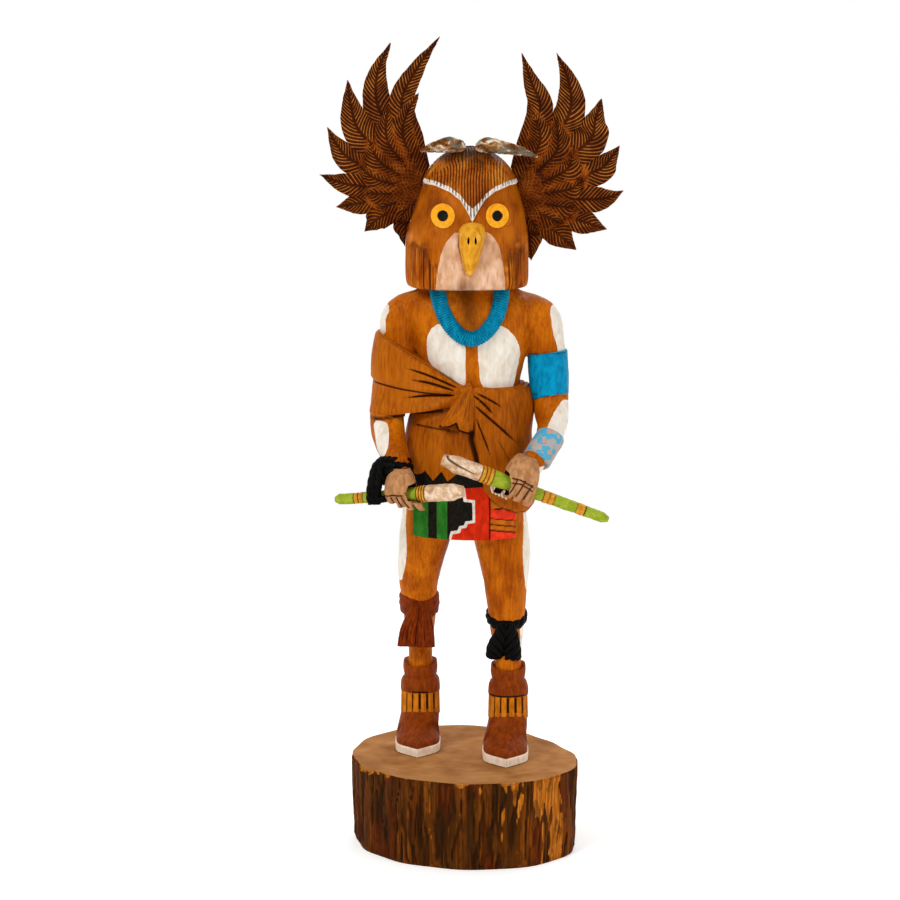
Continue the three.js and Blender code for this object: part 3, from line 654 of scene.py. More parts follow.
def blade(root, row, y, length, thick, seed):
    """One carved feather: a curved blade with slanting barbs cut on both sides of a fine quill line.

    The rows of points follow the slant of the barbs, so that a few columns carry them sharply.
    """
    root = np.asarray(root, float)
    tip, middle = np.array(row[:2]), np.array(row[2:4])
    width, bow = row[4:]
    outward_side = np.sign(middle[0] - root[0]) * bow
    bent = np.array([outward_side * (tip[1] - middle[1]), -outward_side * (tip[0] - middle[0])])
    spots = [root, root + (middle - root) * 0.55, middle, middle + (tip - middle) * 0.5 + bent, tip]
    spots = [root + (spot - root) * length for spot in spots]
    half = width / 2 * (0.92 if length < 1 else 1)
    levels, columns = BLADE_LEVELS, 15
    fine = np.linspace(0, 1, 400)
    line = spline(spots, fine)
    run = np.concatenate([[0], np.cumsum(np.linalg.norm(np.diff(line, axis=0), axis=1))])
    tangent = np.gradient(line, axis=0)
    tangent /= np.linalg.norm(tangent, axis=1, keepdims=True)
    profile = half * np.interp(fine, *BLADE_WIDTHS)
    depth = thick * np.interp(fine, *BLADE_DEPTHS)
    v = np.concatenate([np.linspace(-1, 1, columns), np.linspace(1, -1, 8)[1:-1]])[None, :]
    front = np.arange(v.size) < columns
    start = np.linspace(0, 1, levels + 1)[:, None] * run[-1]
    at = np.minimum(start + BARB_SLANT * np.abs(v) * np.interp(start, run, profile), run[-1])
    at[-1] = run[-1]
    t = at / run[-1]
    wide = np.interp(at, run, profile)
    place = np.stack([np.interp(at, run, line[:, k]) for k in (0, 1)], -1)
    heading = np.stack([np.interp(at, run, tangent[:, k]) for k in (0, 1)], -1)
    across = np.stack([heading[..., 1], -heading[..., 0]], -1)
    swayed = np.broadcast_arrays(start / 7, 1.5 * np.sign(v), seed * 3.7)
    sway = 0.4 * noise(np.stack(swayed, -1), 1, seed)
    ridge = (0.5 + 0.5 * np.cos(2 * math.pi * (start / BARB_SPACING + sway))) ** 2.2
    quill = np.exp(-(v * wide / 0.5) ** 2)
    fade = smooth(0.0, 0.1, t) * (1 - smooth(0.95, 1, t))
    groove = np.clip((1 - ridge) * fade + 0.9 * quill * fade, 0, 1)
    crown = np.sqrt(np.clip(1 - 0.72 * v ** 2, 0, 1)) * np.interp(at, run, depth)
    front_lift = crown + 0.1 - BARB_DEEP * groove - 0.35 * quill * fade
    lift = np.where(front[None, :], front_lift, 0.8 * crown - 0.3 * groove)
    flat = place + across * (v * wide)[..., None]
    spot = np.stack([flat[..., 0], flat[..., 1], np.full(t.shape, float(seed))], -1)
    flat = flat + across * (0.22 * rough(spot, 3.0, seed, 2) * v)[..., None]
    grid = np.stack([flat[..., 0], y - np.where(front[None, :], lift, -lift), flat[..., 1]], -1)
    points, faces = closed(grid)
    shade = np.concatenate([groove.ravel(), [0, 0]])
    # Share of the painted highlight and rubbed-back wood along the barb ridges.
    light = np.concatenate([(ridge * fade * (1 - quill)).ravel(), [0, 0]])
    return points, faces, shade, light


def feather_fan(side, rows):
    """Eight long blades behind seven short ones, joined by a web and cut back from the mask."""
    material = feather_material()
    root = FAN_ROOTS[side]
    solids = [blade(root, row, FAN_Y + (0.6 if i % 2 else -0.4), 1, FAN_HALF_THICK, i + 1)
              for i, row in enumerate(rows)]
    for i, (row, after) in enumerate(zip(rows[:7], rows[1:8])):
        between = tuple((a + b) / 2 for a, b in zip(row, after))
        solids.append(blade(root, between, FAN_Y - 1.9, SHORT_ROW, FAN_HALF_THICK * 0.8, i + 11))
    middles = [(x, z) for _, _, x, z, _, _ in rows]
    web = [root] + [(root[0] + (x - root[0]) * 0.9, root[1] + (z - root[1]) * 0.9) for x, z in middles]
    points, faces = prism(web, FAN_Y - 1.6, FAN_Y + 1.6)
    none = np.zeros(len(points))
    piece = None
    for points, faces, shade, light in [*solids, (points, faces, none, none)]:
        part = make(f"feather_fan_{side}_carved", (points, faces), material)
        paint_line(part, "groove", shade)
        paint_line(part, "light", light)
        piece = combine(piece, part) if piece else part
    combine(piece, mask_room(0.1), "DIFFERENCE")
    far = np.linalg.norm(places(piece)[:, [0, 2]] - root, axis=1)
    paint_line(piece, "reach", far)
    finish(piece, CREASE, f"feather_fan_{side}")


def feather_material():
    """Dark brown stain and painted shade in cuts; rubbed orange wood and painted highlight on ridges."""
    shader = Shader("feather_wood", 0.6)
    mottle = shader.noise(7, 4, 0.5)
    fine = shader.noise((0.7, 0.7, 1.1), 3)
    both = shader.share(mottle, 0.6, fine)
    colour = shader.ramp(both, [(0.36, "#4f1c02"), (0.5, "#7c3403"), (0.66, "#a8550c")])
    # The ridges' painted highlight grows brighter further from the root.
    outer = shader.step(shader.attribute("reach"), 18, 62)
    light = shader.mix(outer, "#a4540f", "#d18a40")
    ridges = shader.step(shader.attribute("light"), 0.45, 0.95)
    patchy = shader.math("MULTIPLY", shader.step(mottle, 0.4, 0.62), 0.6)
    share = shader.math("MULTIPLY", ridges, shader.math("ADD", 0.25, patchy))
    colour = shader.mix(share, colour, light)
    colour = cut_stain_and_shade(shader, colour, "#230800", 0.84)
    # Painted shade towards the root, beside the mask.
    root_shade = shader.math("SUBTRACT", 1.0, shader.step(shader.attribute("reach"), 6, 34))
    colour = shader.tint(colour, root_shade, 0.35, "#260a02")
    shader.bump(fine, 0.12)
    return shader.done(colour)


def crown_feather(side, inner, bulb, tip):
    """A short plump feather lying over the crown, scored with fine lines."""
    y = 0.4

    def ring(start, end, along, up, wide, deep, lift=0.0):
        """A ring between two places, each an x and a z."""
        x, z = start[0] + (end[0] - start[0]) * along, start[1] + (end[1] - start[1]) * up
        return (x, y, z + lift, wide, deep, deep, 2)

    rows = [
        ring(inner, bulb, 0, 0, 1.6, 1.6, 0.2), ring(inner, bulb, 0.22, 0.3, 3.2, 2.9),
        ring(inner, bulb, 0.6, 0.7, 3.9, 3.3), ring(bulb, tip, 0, 0, 3.9, 3.4, 0.1),
        ring(bulb, tip, 0.6, 0.45, 2.5, 2.4), ring(tip, tip, 0, 0, 0.6, 0.7),
    ]
    angle = turns(56)
    grid = rings(rows, angle, 150, side=(0, 0, 1), ends=1.5)
    length = abs(tip[0] - inner[0])
    t = np.abs(grid[..., 0] - inner[0]) / length
    slant = 1.2 * np.abs(np.sin(angle))[None]
    barb = 0.5 - 0.5 * np.cos(2 * math.pi * (t * length - slant) / 1.1)
    groove = barb ** 1.5 * smooth(0.45, 0.7, t) * 0.8
    dents = smooth(0.1, 0.5, rough(grid, (3, 3, 2), 23))
    grid = raised(grid, -0.22 * groove - 0.25 * dents)
    piece = make(f"crown_feather_{side}_carved", closed(grid), crown_feather_material())
    paint_rings(piece, "groove", groove)
    combine(piece, mask_room(0.3), "DIFFERENCE")
    finish(piece, CREASE, f"crown_feather_{side}")


def crown_feather_material():
    """Wood and white paint in mottled spots, with a little grey and rust."""
    shader = Shader("crown_feather_paint", 0.65)
    spots = shader.noise((5, 5, 3), 5, 0.8)
    stops = [(0.38, "#5e3412"), (0.47, "#93622f"), (0.55, "#bb9c78"), (0.62, "#e8ddcf")]
    colour = shader.ramp(spots, stops)
    grey = shader.step(shader.noise((6, 6, 4), 4), 0.52, 0.6)
    colour = shader.tint(colour, grey, 0.7, "#5c675f")
    rust = shader.step(shader.noise((2.4, 2.4, 2), 3), 0.6, 0.68)
    colour = shader.tint(colour, rust, 0.7, "#8a3c0c")
    # Stain and painted shade in the scored lines.
    colour = cut_stain_and_shade(shader, colour, "#4a2a12", 0.7)
    shader.bump(shader.noise(0.8, 3), 0.1)
    return shader.done(colour)


# ---- wands ----------------------------------------------------------------------------
WAND_THICK_END = 4.5
WAND_THIN_END = 2.6
WANDS = {
    "right": ((-1.7, -35.5, 181.2), (-64, -13.6, 173.6)),
    "left": ((-11.4, -32.5, 196.2), (69.2, -20, 164.8)),
}
# Where the paint changes, as shares of the wand's length from its thin end.
WAND_BANDS = {
    "right": {
        "white": 0.715,
        "bands": [(0.65, 0.715), (0.155, 0.225)],
        "cuts": (0.65, 0.672, 0.694, 0.715, 0.155, 0.19, 0.225),
    },
    "left": {
        "white": 0.775,
        "bands": [(0.705, 0.775), (0.145, 0.195), (0.33, 0.40)],
        "cuts": (0.705, 0.73, 0.75, 0.775, 0.145, 0.195, 0.33, 0.365, 0.40),
    },
}
# Slots carved in the white pods, as x and z.
POD_LINES = {
    "right": [[(-18.3, 181.7), (-12.8, 182.5), (-9.2, 183.3), (-6.8, 185.4)],
              [(-8.6, 183.6), (-8.4, 180), (-6.6, 177.8), (-4.6, 177.0)]],
    "left": [[(-6.6, 201.4), (-9.0, 199.5), (-8.4, 196.9), (-5.1, 194.4), (-0.8, 191.8), (3.6, 189.4)]],
}


def wand_rows(side, grow=0.0):
    """A wand's rings, from its thin end to its thick end."""
    thick, thin = (np.array(end, float) for end in WANDS[side])
    radii = [
        (0, WAND_THIN_END * 0.55), (0.035, WAND_THIN_END), (0.36, WAND_THIN_END + 0.4),
        (0.62, WAND_THICK_END - 1), (0.7, WAND_THICK_END - 0.3), (0.92, WAND_THICK_END),
        (1, WAND_THICK_END * 0.62),
    ]
    return round_rows([(*(thin + (thick - thin) * t), radius + grow) for t, radius in radii])


def wand(side):
    """A green stick with yellow bands; its thick end is a white carved pod, split by a long slot."""
    angle = turns(80)
    grid = rings(wand_rows(side), angle, 260, side=(0, 0, 1), path=straight)
    thick, thin = (np.array(end, float) for end in WANDS[side])
    length = np.linalg.norm(thick - thin)
    t = (grid - thin) @ (thick - thin) / length ** 2
    band = WAND_BANDS[side]
    start = band["white"]
    slit = np.zeros(grid.shape[:2])
    for line in POD_LINES[side]:
        away, share = line_distance(grid[..., [0, 2]].reshape(-1, 2), curve(line, per=5))
        taper = 0.35 + 0.65 * (1 - smooth(0.6, 1, share))
        slit = np.maximum(slit, np.exp(-(away / (0.75 * taper)) ** 2).reshape(slit.shape))
    slit = slit * (np.cos(angle)[None, :] > 0) * (t > start + 0.02)
    ring_cut = sum(np.exp(-((t - edge) * length / 0.3) ** 2) for edge in band["cuts"])
    uneven = 0.16 * rough(grid, (2.5, 2.5, 2.5), 61)
    grid = raised(grid, uneven - 0.9 * slit - 0.3 * ring_cut - 0.2 * (t > start) * (1 - slit))
    piece = make(f"wand_{side}_carved", closed(grid), wand_material())
    white = (t - start) * length
    yellow = np.max([np.minimum(t - low, high - t) * length for low, high in band["bands"]], axis=0)
    paint_rings(piece, "white", white, (OUTSIDE, -OUTSIDE))
    paint_rings(piece, "yellow", yellow, (OUTSIDE, OUTSIDE))
    paint_rings(piece, "groove", np.maximum(ring_cut * 0.9, slit * 0.8))
    finish(piece, CREASE, f"wand_{side}")


def wand_material():
    """Green paint, ochre bands and a white pod, each inside its own border."""
    shader = Shader("wand_paint", 0.5)
    colour = brushed_paint(shader, "#a2ae34", "#869a22", 3)
    ochre = brushed_paint(shader, "#dc9c34", "#b9761c", 2)
    colour = shader.mix(shader.step(shader.wobble("yellow", 0.1), -0.1, 0.1), colour, ochre)
    blotches = shader.noise(3, 5, 0.5)
    pod = shader.ramp(blotches, [(0.34, "#b48c66"), (0.5, "#d2b08e"), (0.66, "#ecd0b6")])
    colour = shader.mix(shader.step(shader.wobble("white", 0.1), -0.1, 0.1), colour, pod)
    # Stain and painted shade in the ring cuts and the pod's slot.
    colour = cut_stain_and_shade(shader, colour, "#3a1a06", 0.9)
    shader.bump(shader.noise(0.9, 3), 0.1)
    return shader.done(colour)


# ---- case mask ------------------------------------------------------------------------
MASK_BOTTOM = 277.0
MASK_RINGS = [
    (0.2, 0, MASK_BOTTOM, 28.2, 27.2, 27.2, 2.8), (0.2, 0, MASK_BOTTOM + 1.2, 29.5, 28.4, 28.4, 2.8),
    (0.3, 0, 284, 30, 28.8, 28.8, 2.7), (0.3, 0, 299, 29.8, 28.6, 28.6, 2.6),
    (0.9, 0, 309, 28, 27.2, 27.2, 2.5), (1.5, 0, 319, 25.3, 25.2, 25.2, 2.4),
    (1.8, 0, BROW_SIDE, 22.5, 22.8, 22.8, 2.3), (1.7, 0, 334, 18.8, 19.4, 19.4, 2.2),
    (1.6, 0, 339, 14, 14.6, 14.6, 2), (1.6, 0, 342.6, 8, 8.6, 8.6, 2), (1.6, 0, 344, 3.4, 3.4, 3.4, 2),
]
BROW_STEP = 1.1
BROW_MIDDLE = 2.8
BROW_PLACES = [0, 2.5, 6, 11, 18, 24]  # how far from the middle its height is set
GOUGE_SPACING = 1.4
BEAK_TOP = 310.0
BEAK_TIP = 284.0


def turned(points):
    """Mask coordinates placed on the doll: turned a little to its right, and moved back."""
    cos, sin = math.cos(MASK_TURN), math.sin(MASK_TURN)
    x, y, z = np.moveaxis(points, -1, 0)
    return np.stack([x * cos - y * sin, x * sin + y * cos + BODY_Y, z], -1)


def brow_height(x, y):
    """Height of the crown's lower edge: it dips to a point over the beak in front."""
    away = np.abs(x - BROW_MIDDLE)
    dip = np.interp(away, BROW_PLACES, [BROW_POINT, 315, 320.6, 324.4, 327, 327.4])
    return np.where(y < BODY_Y, dip, BROW_SIDE)


def brow_top(x, y):
    """Height of the white brow line's upper edge."""
    away = np.abs(x - BROW_MIDDLE)
    dip = np.interp(away, BROW_PLACES, [316.6, 318.6, 323.2, 326.8, 329.3, 329.7])
    return np.where(y < BODY_Y, dip, BROW_SIDE + 2.4)


def mask_room(gap):
    """The mask's space with a gap all round, to cut its neighbours."""
    grid = turned(rings(MASK_RINGS, turns(96), 60, grow=gap))
    above = smooth(-0.4, 0.4, grid[..., 2] - brow_height(grid[..., 0], grid[..., 1]) + gap)
    return make("mask_room", closed(raised(grid, above * BROW_STEP)))


def mask(material):
    """The owl face: gouged crown over a dipping brow line, smooth face, gouged cheeks, eye discs."""
    angle = turns(420)
    grid = turned(rings(MASK_RINGS, angle, 104))
    x, y, z = np.moveaxis(grid, -1, 0)
    crown = smooth(-0.35, 0.35, z - brow_height(x, y))
    turned_away = (21 - np.abs(y - BODY_Y)) * np.sign(x) * smooth(17, 24, np.abs(x))
    cuts = (x + turned_away) / GOUGE_SPACING + 0.4 * noise(np.stack([x, y, z * 0.15], -1), 5, 3)
    gouge = (0.5 - 0.5 * np.cos(2 * math.pi * cuts)) ** 2
    gouge = gouge * (0.25 + 0.75 * smooth(-0.75, -0.1, noise(np.stack([x, y, z * 0.12], -1), 2.6, 4)))
    cheek = smooth(0, 6, cheek_depth(x, y, z)) * (1 - smooth(-0.6, 0.2, muzzle_depth(x, y, z)))
    share = np.maximum(smooth(0.2, 0.8, z - brow_height(x, y)), cheek)
    height = BROW_STEP * crown - 0.42 * gouge * share + 0.12 * rough(grid, 7, 8)
    grid = raised(grid, height)
    piece = make("mask", closed(grid), material)
    paint_rings(piece, "groove", gouge * share)
    for side in (-1, 1):
        combine(piece, eye(side, material))
    return piece


def cheek_depth(x, y, z):
    """How far a point of the mask lies into the gouged zone: the sides, cheeks and back."""
    low = np.interp(np.abs(x - FACE_MIDDLE), [12, 16, 20, 24, 30], [270, 288, 296, 301, 305])
    front = low - z
    return np.where(y < BODY_Y - 14, front, np.maximum(front, y - BODY_Y + 6))


MUZZLE = curve([
    (2, 303), (9.2, 305.4), (12.6, 303.2), (15.6, 298.4), (17.2, 292), (18.4, 284), (18.9, 275), (18, 268),
    (-14, 268), (-15, 276), (-14, 286), (-12.6, 293.6), (-10.4, 299.4), (-7.4, 303.4), (-4.6, 305.2),
], loop=True)


def muzzle_depth(x, y, z):
    """Signed distance into the pale muzzle, on the front of the mask only."""
    return np.minimum(grid_inside(x, z, MUZZLE), BODY_Y - 6 - y)


def eye_middle(side):
    """Middle of an eye in front view: x and z."""
    return np.array([side * EYE_SPREAD + FACE_MIDDLE, EYE_HEIGHT])


def eye(side, material):
    """A flat disc with a rounded rim, turned with the face."""
    lean = side * EYE_LEAN + MASK_TURN
    levels = [(-6, 1.0), (5.7, 1.0), (6.2, 0.985), (6.5, 0.94), (6.62, 0.86), (6.72, 0.5), (6.76, 0.1)]
    angle = np.linspace(0, 2 * math.pi, 64, endpoint=False)
    out, share = np.array(levels).T[..., None]
    round_x, round_z = EYE_RADIUS * share * np.cos(angle), EYE_RADIUS * share * np.sin(angle)
    x, y, z = np.broadcast_arrays(round_x, -out, round_z)
    cos, sin = math.cos(lean), math.sin(lean)
    across, up = eye_middle(side)
    grid = np.stack([x * cos - y * sin + across, x * sin + y * cos + EYE_Y, z + up], -1)
    return make("eye", closed(grid), material)


def beak():
    """A hooked beak with a soft ridge and two slit nostrils."""
    rows = [
        (1.4, -19.6, BEAK_TIP, 0.8, 1.4, 1.4, 2), (1.6, -20, BEAK_TIP + 2, 2.3, 3.4, 3.4, 2),
        (1.8, -20.2, BEAK_TIP + 6, 3.7, 5.6, 5.6, 2), (2.1, -20, BEAK_TIP + 13, 5.4, 7.5, 7.5, 2.2),
        (2.5, -19.4, BEAK_TIP + 19, 6.4, 7.8, 7.8, 2.2), (2.7, -18.6, BEAK_TIP + 22.6, 6.2, 7.2, 7.2, 2.2),
        (2.8, -17.4, BEAK_TIP + 25, 4.6, 5.6, 5.6, 2.1), (2.8, -16.4, BEAK_TOP, 1.8, 3.6, 3.6, 2),
    ]
    angle = turns(84)
    grid = rings(rows, angle, 110, ends=1.2)
    ridge = np.exp(-(angle / 0.45) ** 2)[None, :] * np.linspace(1, 0.1, len(grid))[:, None]
    grid = raised(grid, 0.5 * ridge + 0.1 * rough(grid, 4, 5))
    piece = make("beak_carved", closed(grid), beak_material())
    for side, x in ((-1, 0.8), (1, 4.4)):
        slit = [(x, -26.6, 299.4, 0.12, 0.5, 0.5, 2), (x - 0.05 * side, -26.8, 301.6, 0.6, 2.2, 2.2, 2),
                (x - 0.2 * side, -26.4, 304.0, 0.1, 0.5, 0.5, 2)]
        nostril = closed(rings(slit, turns(16), 12))
        # The nostril's cut faces carry painted shade.
        combine(piece, make("nostril", nostril, cut_shade_material()), "DIFFERENCE")
    combine(piece, mask_room(0.15), "DIFFERENCE")
    finish(piece, CREASE, "beak")


def beak_material():
    """Yellow-orange paint, paler where it is rubbed."""
    shader = Shader("beak_paint", 0.48)
    colour = brushed_paint(shader, "#e7a52c", "#c67f10", (3, 3, 7))
    pale = shader.step(shader.noise(4, 4, 0.6), 0.55, 0.72)
    colour = shader.tint(colour, pale, 0.5, "#f0c060")
    shader.bump(shader.noise((1, 1, 3), 3), 0.1)
    return shader.done(colour)


def cut_shade_material():
    """Painted shade inside deep cuts, made once and shared."""
    found = bpy.data.materials.get("dark_cut")
    if found:
        return found
    shader = Shader("dark_cut", 0.8)
    return shader.done(brushed_paint(shader, "#1c0d05", "#2c1508"))


# ---- body -----------------------------------------------------------------------------
# Tables of rings, with the columns that `rings` reads.
TORSO = [
    (0, BODY_Y, 200, 26, 18, 18, 2.3), (1.5, BODY_Y, 216, 25, 17.6, 17, 2.3),
    (2.4, BODY_Y, WAIST, 24, 17.8, 16.5, 2.3), (2.8, BODY_Y, 245, 27.2, 19.2, 18, 2.4),
    (2.8, BODY_Y, 258, 31.4, 19.6, 19, 2.5), (1.4, BODY_Y, 268, 34, 17.5, 18, 2.4),
    (0.6, BODY_Y, 275, 25, 14.6, 15, 2.2), (0.6, BODY_Y, 284, 15, 13, 13, 2),
]
HIPS = [
    (-0.8, BODY_Y, KILT_HEM, 32.2, 18, 17.4, 2.8), (-0.8, BODY_Y, 166, 32.3, 20, 19.4, 2.7),
    (-0.5, BODY_Y, 186, 31, 21, 20.5, 2.6), (0.4, BODY_Y, 204, 28.6, 20.4, 19.6, 2.5),
    (2.2, BODY_Y, 218, 28, 18.6, 17.8, 2.4), (2.4, BODY_Y, 232, 25.2, 17.8, 16.6, 2.3),
]
WRAP = [
    (-8.6, 7, 208, 39.4, 21, 19, 2.7), (-8, 7, 220, 38.2, 19.6, 18, 2.6),
    (-7.6, BODY_Y, WAIST, 37.4, 19.4, 17.6, 2.5), (-7.4, BODY_Y, 243, 37, 19.2, 18, 2.5),
    (-7.4, BODY_Y, 256, 34.4, 18.6, 17.6, 2.5),
]
RIGHT_ARM = [
    (-20, BODY_Y, 267.4, 8.4, 10, 10, 2), (-32.2, BODY_Y, 261.6, 9.2, 9.8, 9.8, 2),
    (-33.4, BODY_Y, 248, 9.2, 9, 9, 2), (-36.6, 7.6, 232, 9, 9, 9, 2), (-39, 4.6, 216, 8.4, 9, 9, 2),
    (-38, -6, 204, 8.2, 8.4, 8.4, 2), (-34.6, -16, 195, 6.8, 7, 7, 2), (-32, -22, 186, 6, 6, 6, 2),
]
LEFT_ARM = [
    (22, BODY_Y, 267, 8, 10, 10, 2), (36.4, BODY_Y, 261, 9, 9.8, 9.8, 2),
    (38.9, BODY_Y, 248, 9.8, 9.4, 9.4, 2), (40.8, 7.6, 234, 8.8, 9, 9, 2), (41.7, 5.4, 218, 8.8, 9, 9, 2),
    (42.2, -2, 208, 7.2, 8.2, 8.2, 2), (38, -13, 200, 5.8, 6.6, 6.6, 2), (30, -21, 189, 5.6, 6, 6, 2),
]
RIGHT_LEG = [
    (-22.9, 17.6, 66, 7, 8, 8, 2.2), (-22.9, 17.6, 88, 6.0, 7.0, 7.4, 2.2),
    (-23, 16.3, 97, 6.4, 7.8, 8.6, 2.2), (-23.1, 14.6, 108, 7.8, 9.2, 9.2, 2.2),
    (-23.4, 12.4, 121, 9, 10.2, 10, 2.2), (-23.4, 11.4, 131, 10.2, 11.5, 11.4, 2.2),
    (-21.3, 9.6, 146, 12.2, 13.4, 14, 2.3), (-18, 9, 162, 14, 14.6, 16, 2.3),
]
LEFT_LEG = [
    (20.9, -2, 68, 7.4, 8.4, 8.4, 2.2), (20.9, -2, 88, 6.6, 7.6, 8.2, 2.2),
    (20.7, -0.7, 97, 7.2, 8.6, 9, 2.2), (20.4, 1.6, 106, 8.4, 9.6, 9.6, 2.2),
    (20, 3.8, 118, 9.6, 11, 10.8, 2.2), (19.7, 4.6, 129, 10.9, 12.4, 12.2, 2.2),
    (18.4, 6.6, 145, 13.3, 14.2, 15, 2.3), (15.4, 8, 161, 15, 14, 17, 2.3),
]


SKIN_VOXEL = 0.85
SKIN_TRIANGLES = 52000


def skin(material):
    """Torso, arms and legs, carved into one another."""
    even = turns(64)
    limbs = [closed(rings(arm, turns(40), 60, side=(1, 0, 0))) for arm in (RIGHT_ARM, LEFT_ARM)]
    limbs += [closed(rings(leg, turns(40), 60)) for leg in (RIGHT_LEG, LEFT_LEG)]
    solid = merged(closed(rings(TORSO, even, 60)), closed(rings(HIPS, even, 40, grow=-1.5)), *limbs)
    piece = fused("skin", solid, SKIN_VOXEL, 5, material)
    points, normal = places(piece), facing(piece)
    lift = 0.22 * rough(points, (9, 9, 14), 71) + 0.12 * rough(points, 3.2, 72)
    flat = points[:, [0, 2]]
    front = smooth(-0.2, 0.4, -normal[:, 1])
    breastbone, _ = line_distance(flat, [(2.2, 262), (2.6, 232)])
    lift -= 0.9 * np.exp(-(breastbone / 3.2) ** 2) * front
    move(piece, points + normal * lift[:, None])
    return thinned(piece, SKIN_TRIANGLES)


# ---- robe -----------------------------------------------------------------------------
# Fold lines cut in the robe, from their outer end towards the knot: start, end, width, depth.
CREASES = [
    ((-33.8, 239.4), (-4.8, 228.8), 0.5, 1.3), ((-30.6, 232.8), (-6.2, 227.4), 0.5, 1.3),
    ((-34, 222.8), (-6, 224.8), 0.5, 1.3), ((20.6, 216.6), (3.8, 226.4), 0.45, 1.2),
    ((15, 213.6), (3.8, 224.6), 0.5, 1.3), ((28, 197.6), (4.6, 219.4), 0.5, 1.3),
    ((13.4, 190.4), (5, 213), 0.4, 1.0), ((24, 186), (15.4, 203), 0.35, 0.6),
]


def creases(points, y):
    """Depth of the fold lines at each point, in front only."""
    flat = points.reshape(-1, 2)
    depth = np.zeros(len(flat))
    for start, end, width, deep in CREASES:
        bow = (np.array(start) + end) / 2 + [0, 0.9 if start[0] < 0 else 0.7]
        away, share = line_distance(flat, curve([start, bow, end], per=5))
        taper = smooth(0, 0.45, share) * (1 - 0.4 * smooth(0.85, 1, share))
        depth = np.maximum(depth, deep * taper * np.exp(-(away / (width * (0.4 + 0.6 * taper))) ** 2))
    return depth.reshape(points.shape[:-1]) * (y < BODY_Y)


EDGE_ROLL = 1.1  # how deep and how wide a layer's edge is rounded over


def robe_layer(rows, outline, material, grow, relief, roll=EDGE_ROLL):
    """A layer of the robe: a shell round the body, its folds carved, cut to its outline."""
    angle = turns(300, 1.15)
    grid = rings(rows, angle, 110, grow=grow)
    x, y, z = np.moveaxis(grid, -1, 0)
    edge = grid_inside(x, z, outline)
    cut = creases(np.stack([x, z], -1), y)
    lift = relief(x, y, z) - cut + 0.14 * rough(grid, 5, 81)
    lift = lift - roll * np.exp(-(np.maximum(edge, 0) / EDGE_ROLL) ** 2)
    piece = make("robe_layer", closed(raised(grid, lift)), material)
    paint_rings(piece, "groove", np.clip(cut, 0, 1))
    return combine(piece, make("outline", prism(outline)), "INTERSECT")


def drape(size, height, seed):
    """Soft upright folds, as a relief: a height for each x, y and z."""
    def relief(x, y, z):
        at = np.stack([x + 0.1 * (z - 200), y, z * 0.16], -1)
        return height * (1 - 2 * np.abs(noise(at, size, seed)))
    return relief


def fan_folds(height):
    """Low ridges that run together at the knot, as a relief."""
    def relief(x, y, z):
        turn = np.arctan2(z - KNOT[1], np.abs(x - KNOT[0]) + 0.1)
        far = np.hypot(x - KNOT[0], z - KNOT[1])
        fade = smooth(3, 14, far) * (1 - smooth(30, 46, far)) * (y < BODY_Y)
        return height * np.cos(turn * 15 + 0.6) * fade
    return relief


def robe(material):
    """Six layers: two bands to the knot, the left waist and hip, an under layer, the right sleeve."""
    upper = np.vstack([
        curve([
            (-60, 263), (-46, 256), (-36, 250.4), (-27, 245), (-17, 238.8), (-8, 233), (-2.6, 229.9), KNOT,
        ]),
        curve([(2, 226), (-7.5, 225.6), (-20, 226.6), (-32, 228.2), (-44, 230.2), (-60, 231.6)]),
    ])
    lower = np.vstack([
        curve([(-60, 240), (-30, 236), (-8, 230), KNOT]),
        curve([(1, 219.4), (-9, 218.8), (-20, 217), (-32, 215.4), (-44, 213.2), (-60, 211.8)]),
    ])
    waist = np.vstack([
        curve([KNOT, (8, 228.6), (20, 227), (28, 229.2), (40, 232)]),
        [(40, 206), (0, 206)],
    ])
    hip = np.vstack([
        curve([KNOT, (14, 228), (28, 228), (40, 229)]),
        curve([
            (40, 170.6), (33.7, 169.2), (29.3, 166.2), (24.4, 166.7), (15.5, 170.7), (12.4, 173.4),
            (8.4, 178.4),
        ]),
        curve([(7.6, 188), (5.8, 195), (3.6, 203), (2.4, 212), (1.2, 220)]),
    ])
    under = np.array([
        (-40, 216), (3, 222), (8, 205), (9, 184.6), (-3, 187.6), (-9.2, 182.6), (-12.2, 187.4),
        (-16.3, 182.7), (-20.2, 187.5), (-24.8, 183), (-31, 193), (-40, 202),
    ])
    sleeve = np.array([(-60, 250), (-30, 236), (-30, 214), (-60, 208)])
    piece = robe_layer(WRAP, upper, material, 2.3, fan_folds(0.5))
    combine(piece, robe_layer(WRAP, lower, material, 0.8, fan_folds(0.6)))
    combine(piece, robe_layer(TORSO, waist, material, 2.9, fan_folds(0.4)))
    combine(piece, robe_layer(HIPS, hip, material, 3.1, drape(8, 0.5, 5)))
    combine(piece, robe_layer(HIPS, under, material, 1.1, recess, 0.3))
    return combine(piece, robe_layer(WRAP, sleeve, material, -1.6, drape(9, 0.3, 7)))


# Where the under layer is sunk: a line in front view, half width, depth.
RECESSES = [
    ([(-47, 212.6), (-32, 214.8), (-20, 216.4), (-9, 218.2), (2, 217)], 3.2, 0.9),
    ([(2.6, 210), (3.4, 203), (5.4, 195.5), (6.8, 188)], 1.3, 0.9),
    ([(-26, 209.6), (-14, 208.2), (-4, 207)], 0.6, 0.8),
]


def recess(x, y, z):
    """The robe's under layer: upright folds, sunk beneath the band above it and beside the strap."""
    flat = np.stack([x, z], -1).reshape(-1, 2)
    sunk = 0
    for line, wide, deep in RECESSES:
        away, _ = line_distance(flat, line)
        sunk = sunk + deep * np.exp(-(away / wide) ** 2)
    return drape(5.5, 0.9, 6)(x, y, z) - 0.2 - sunk.reshape(x.shape)


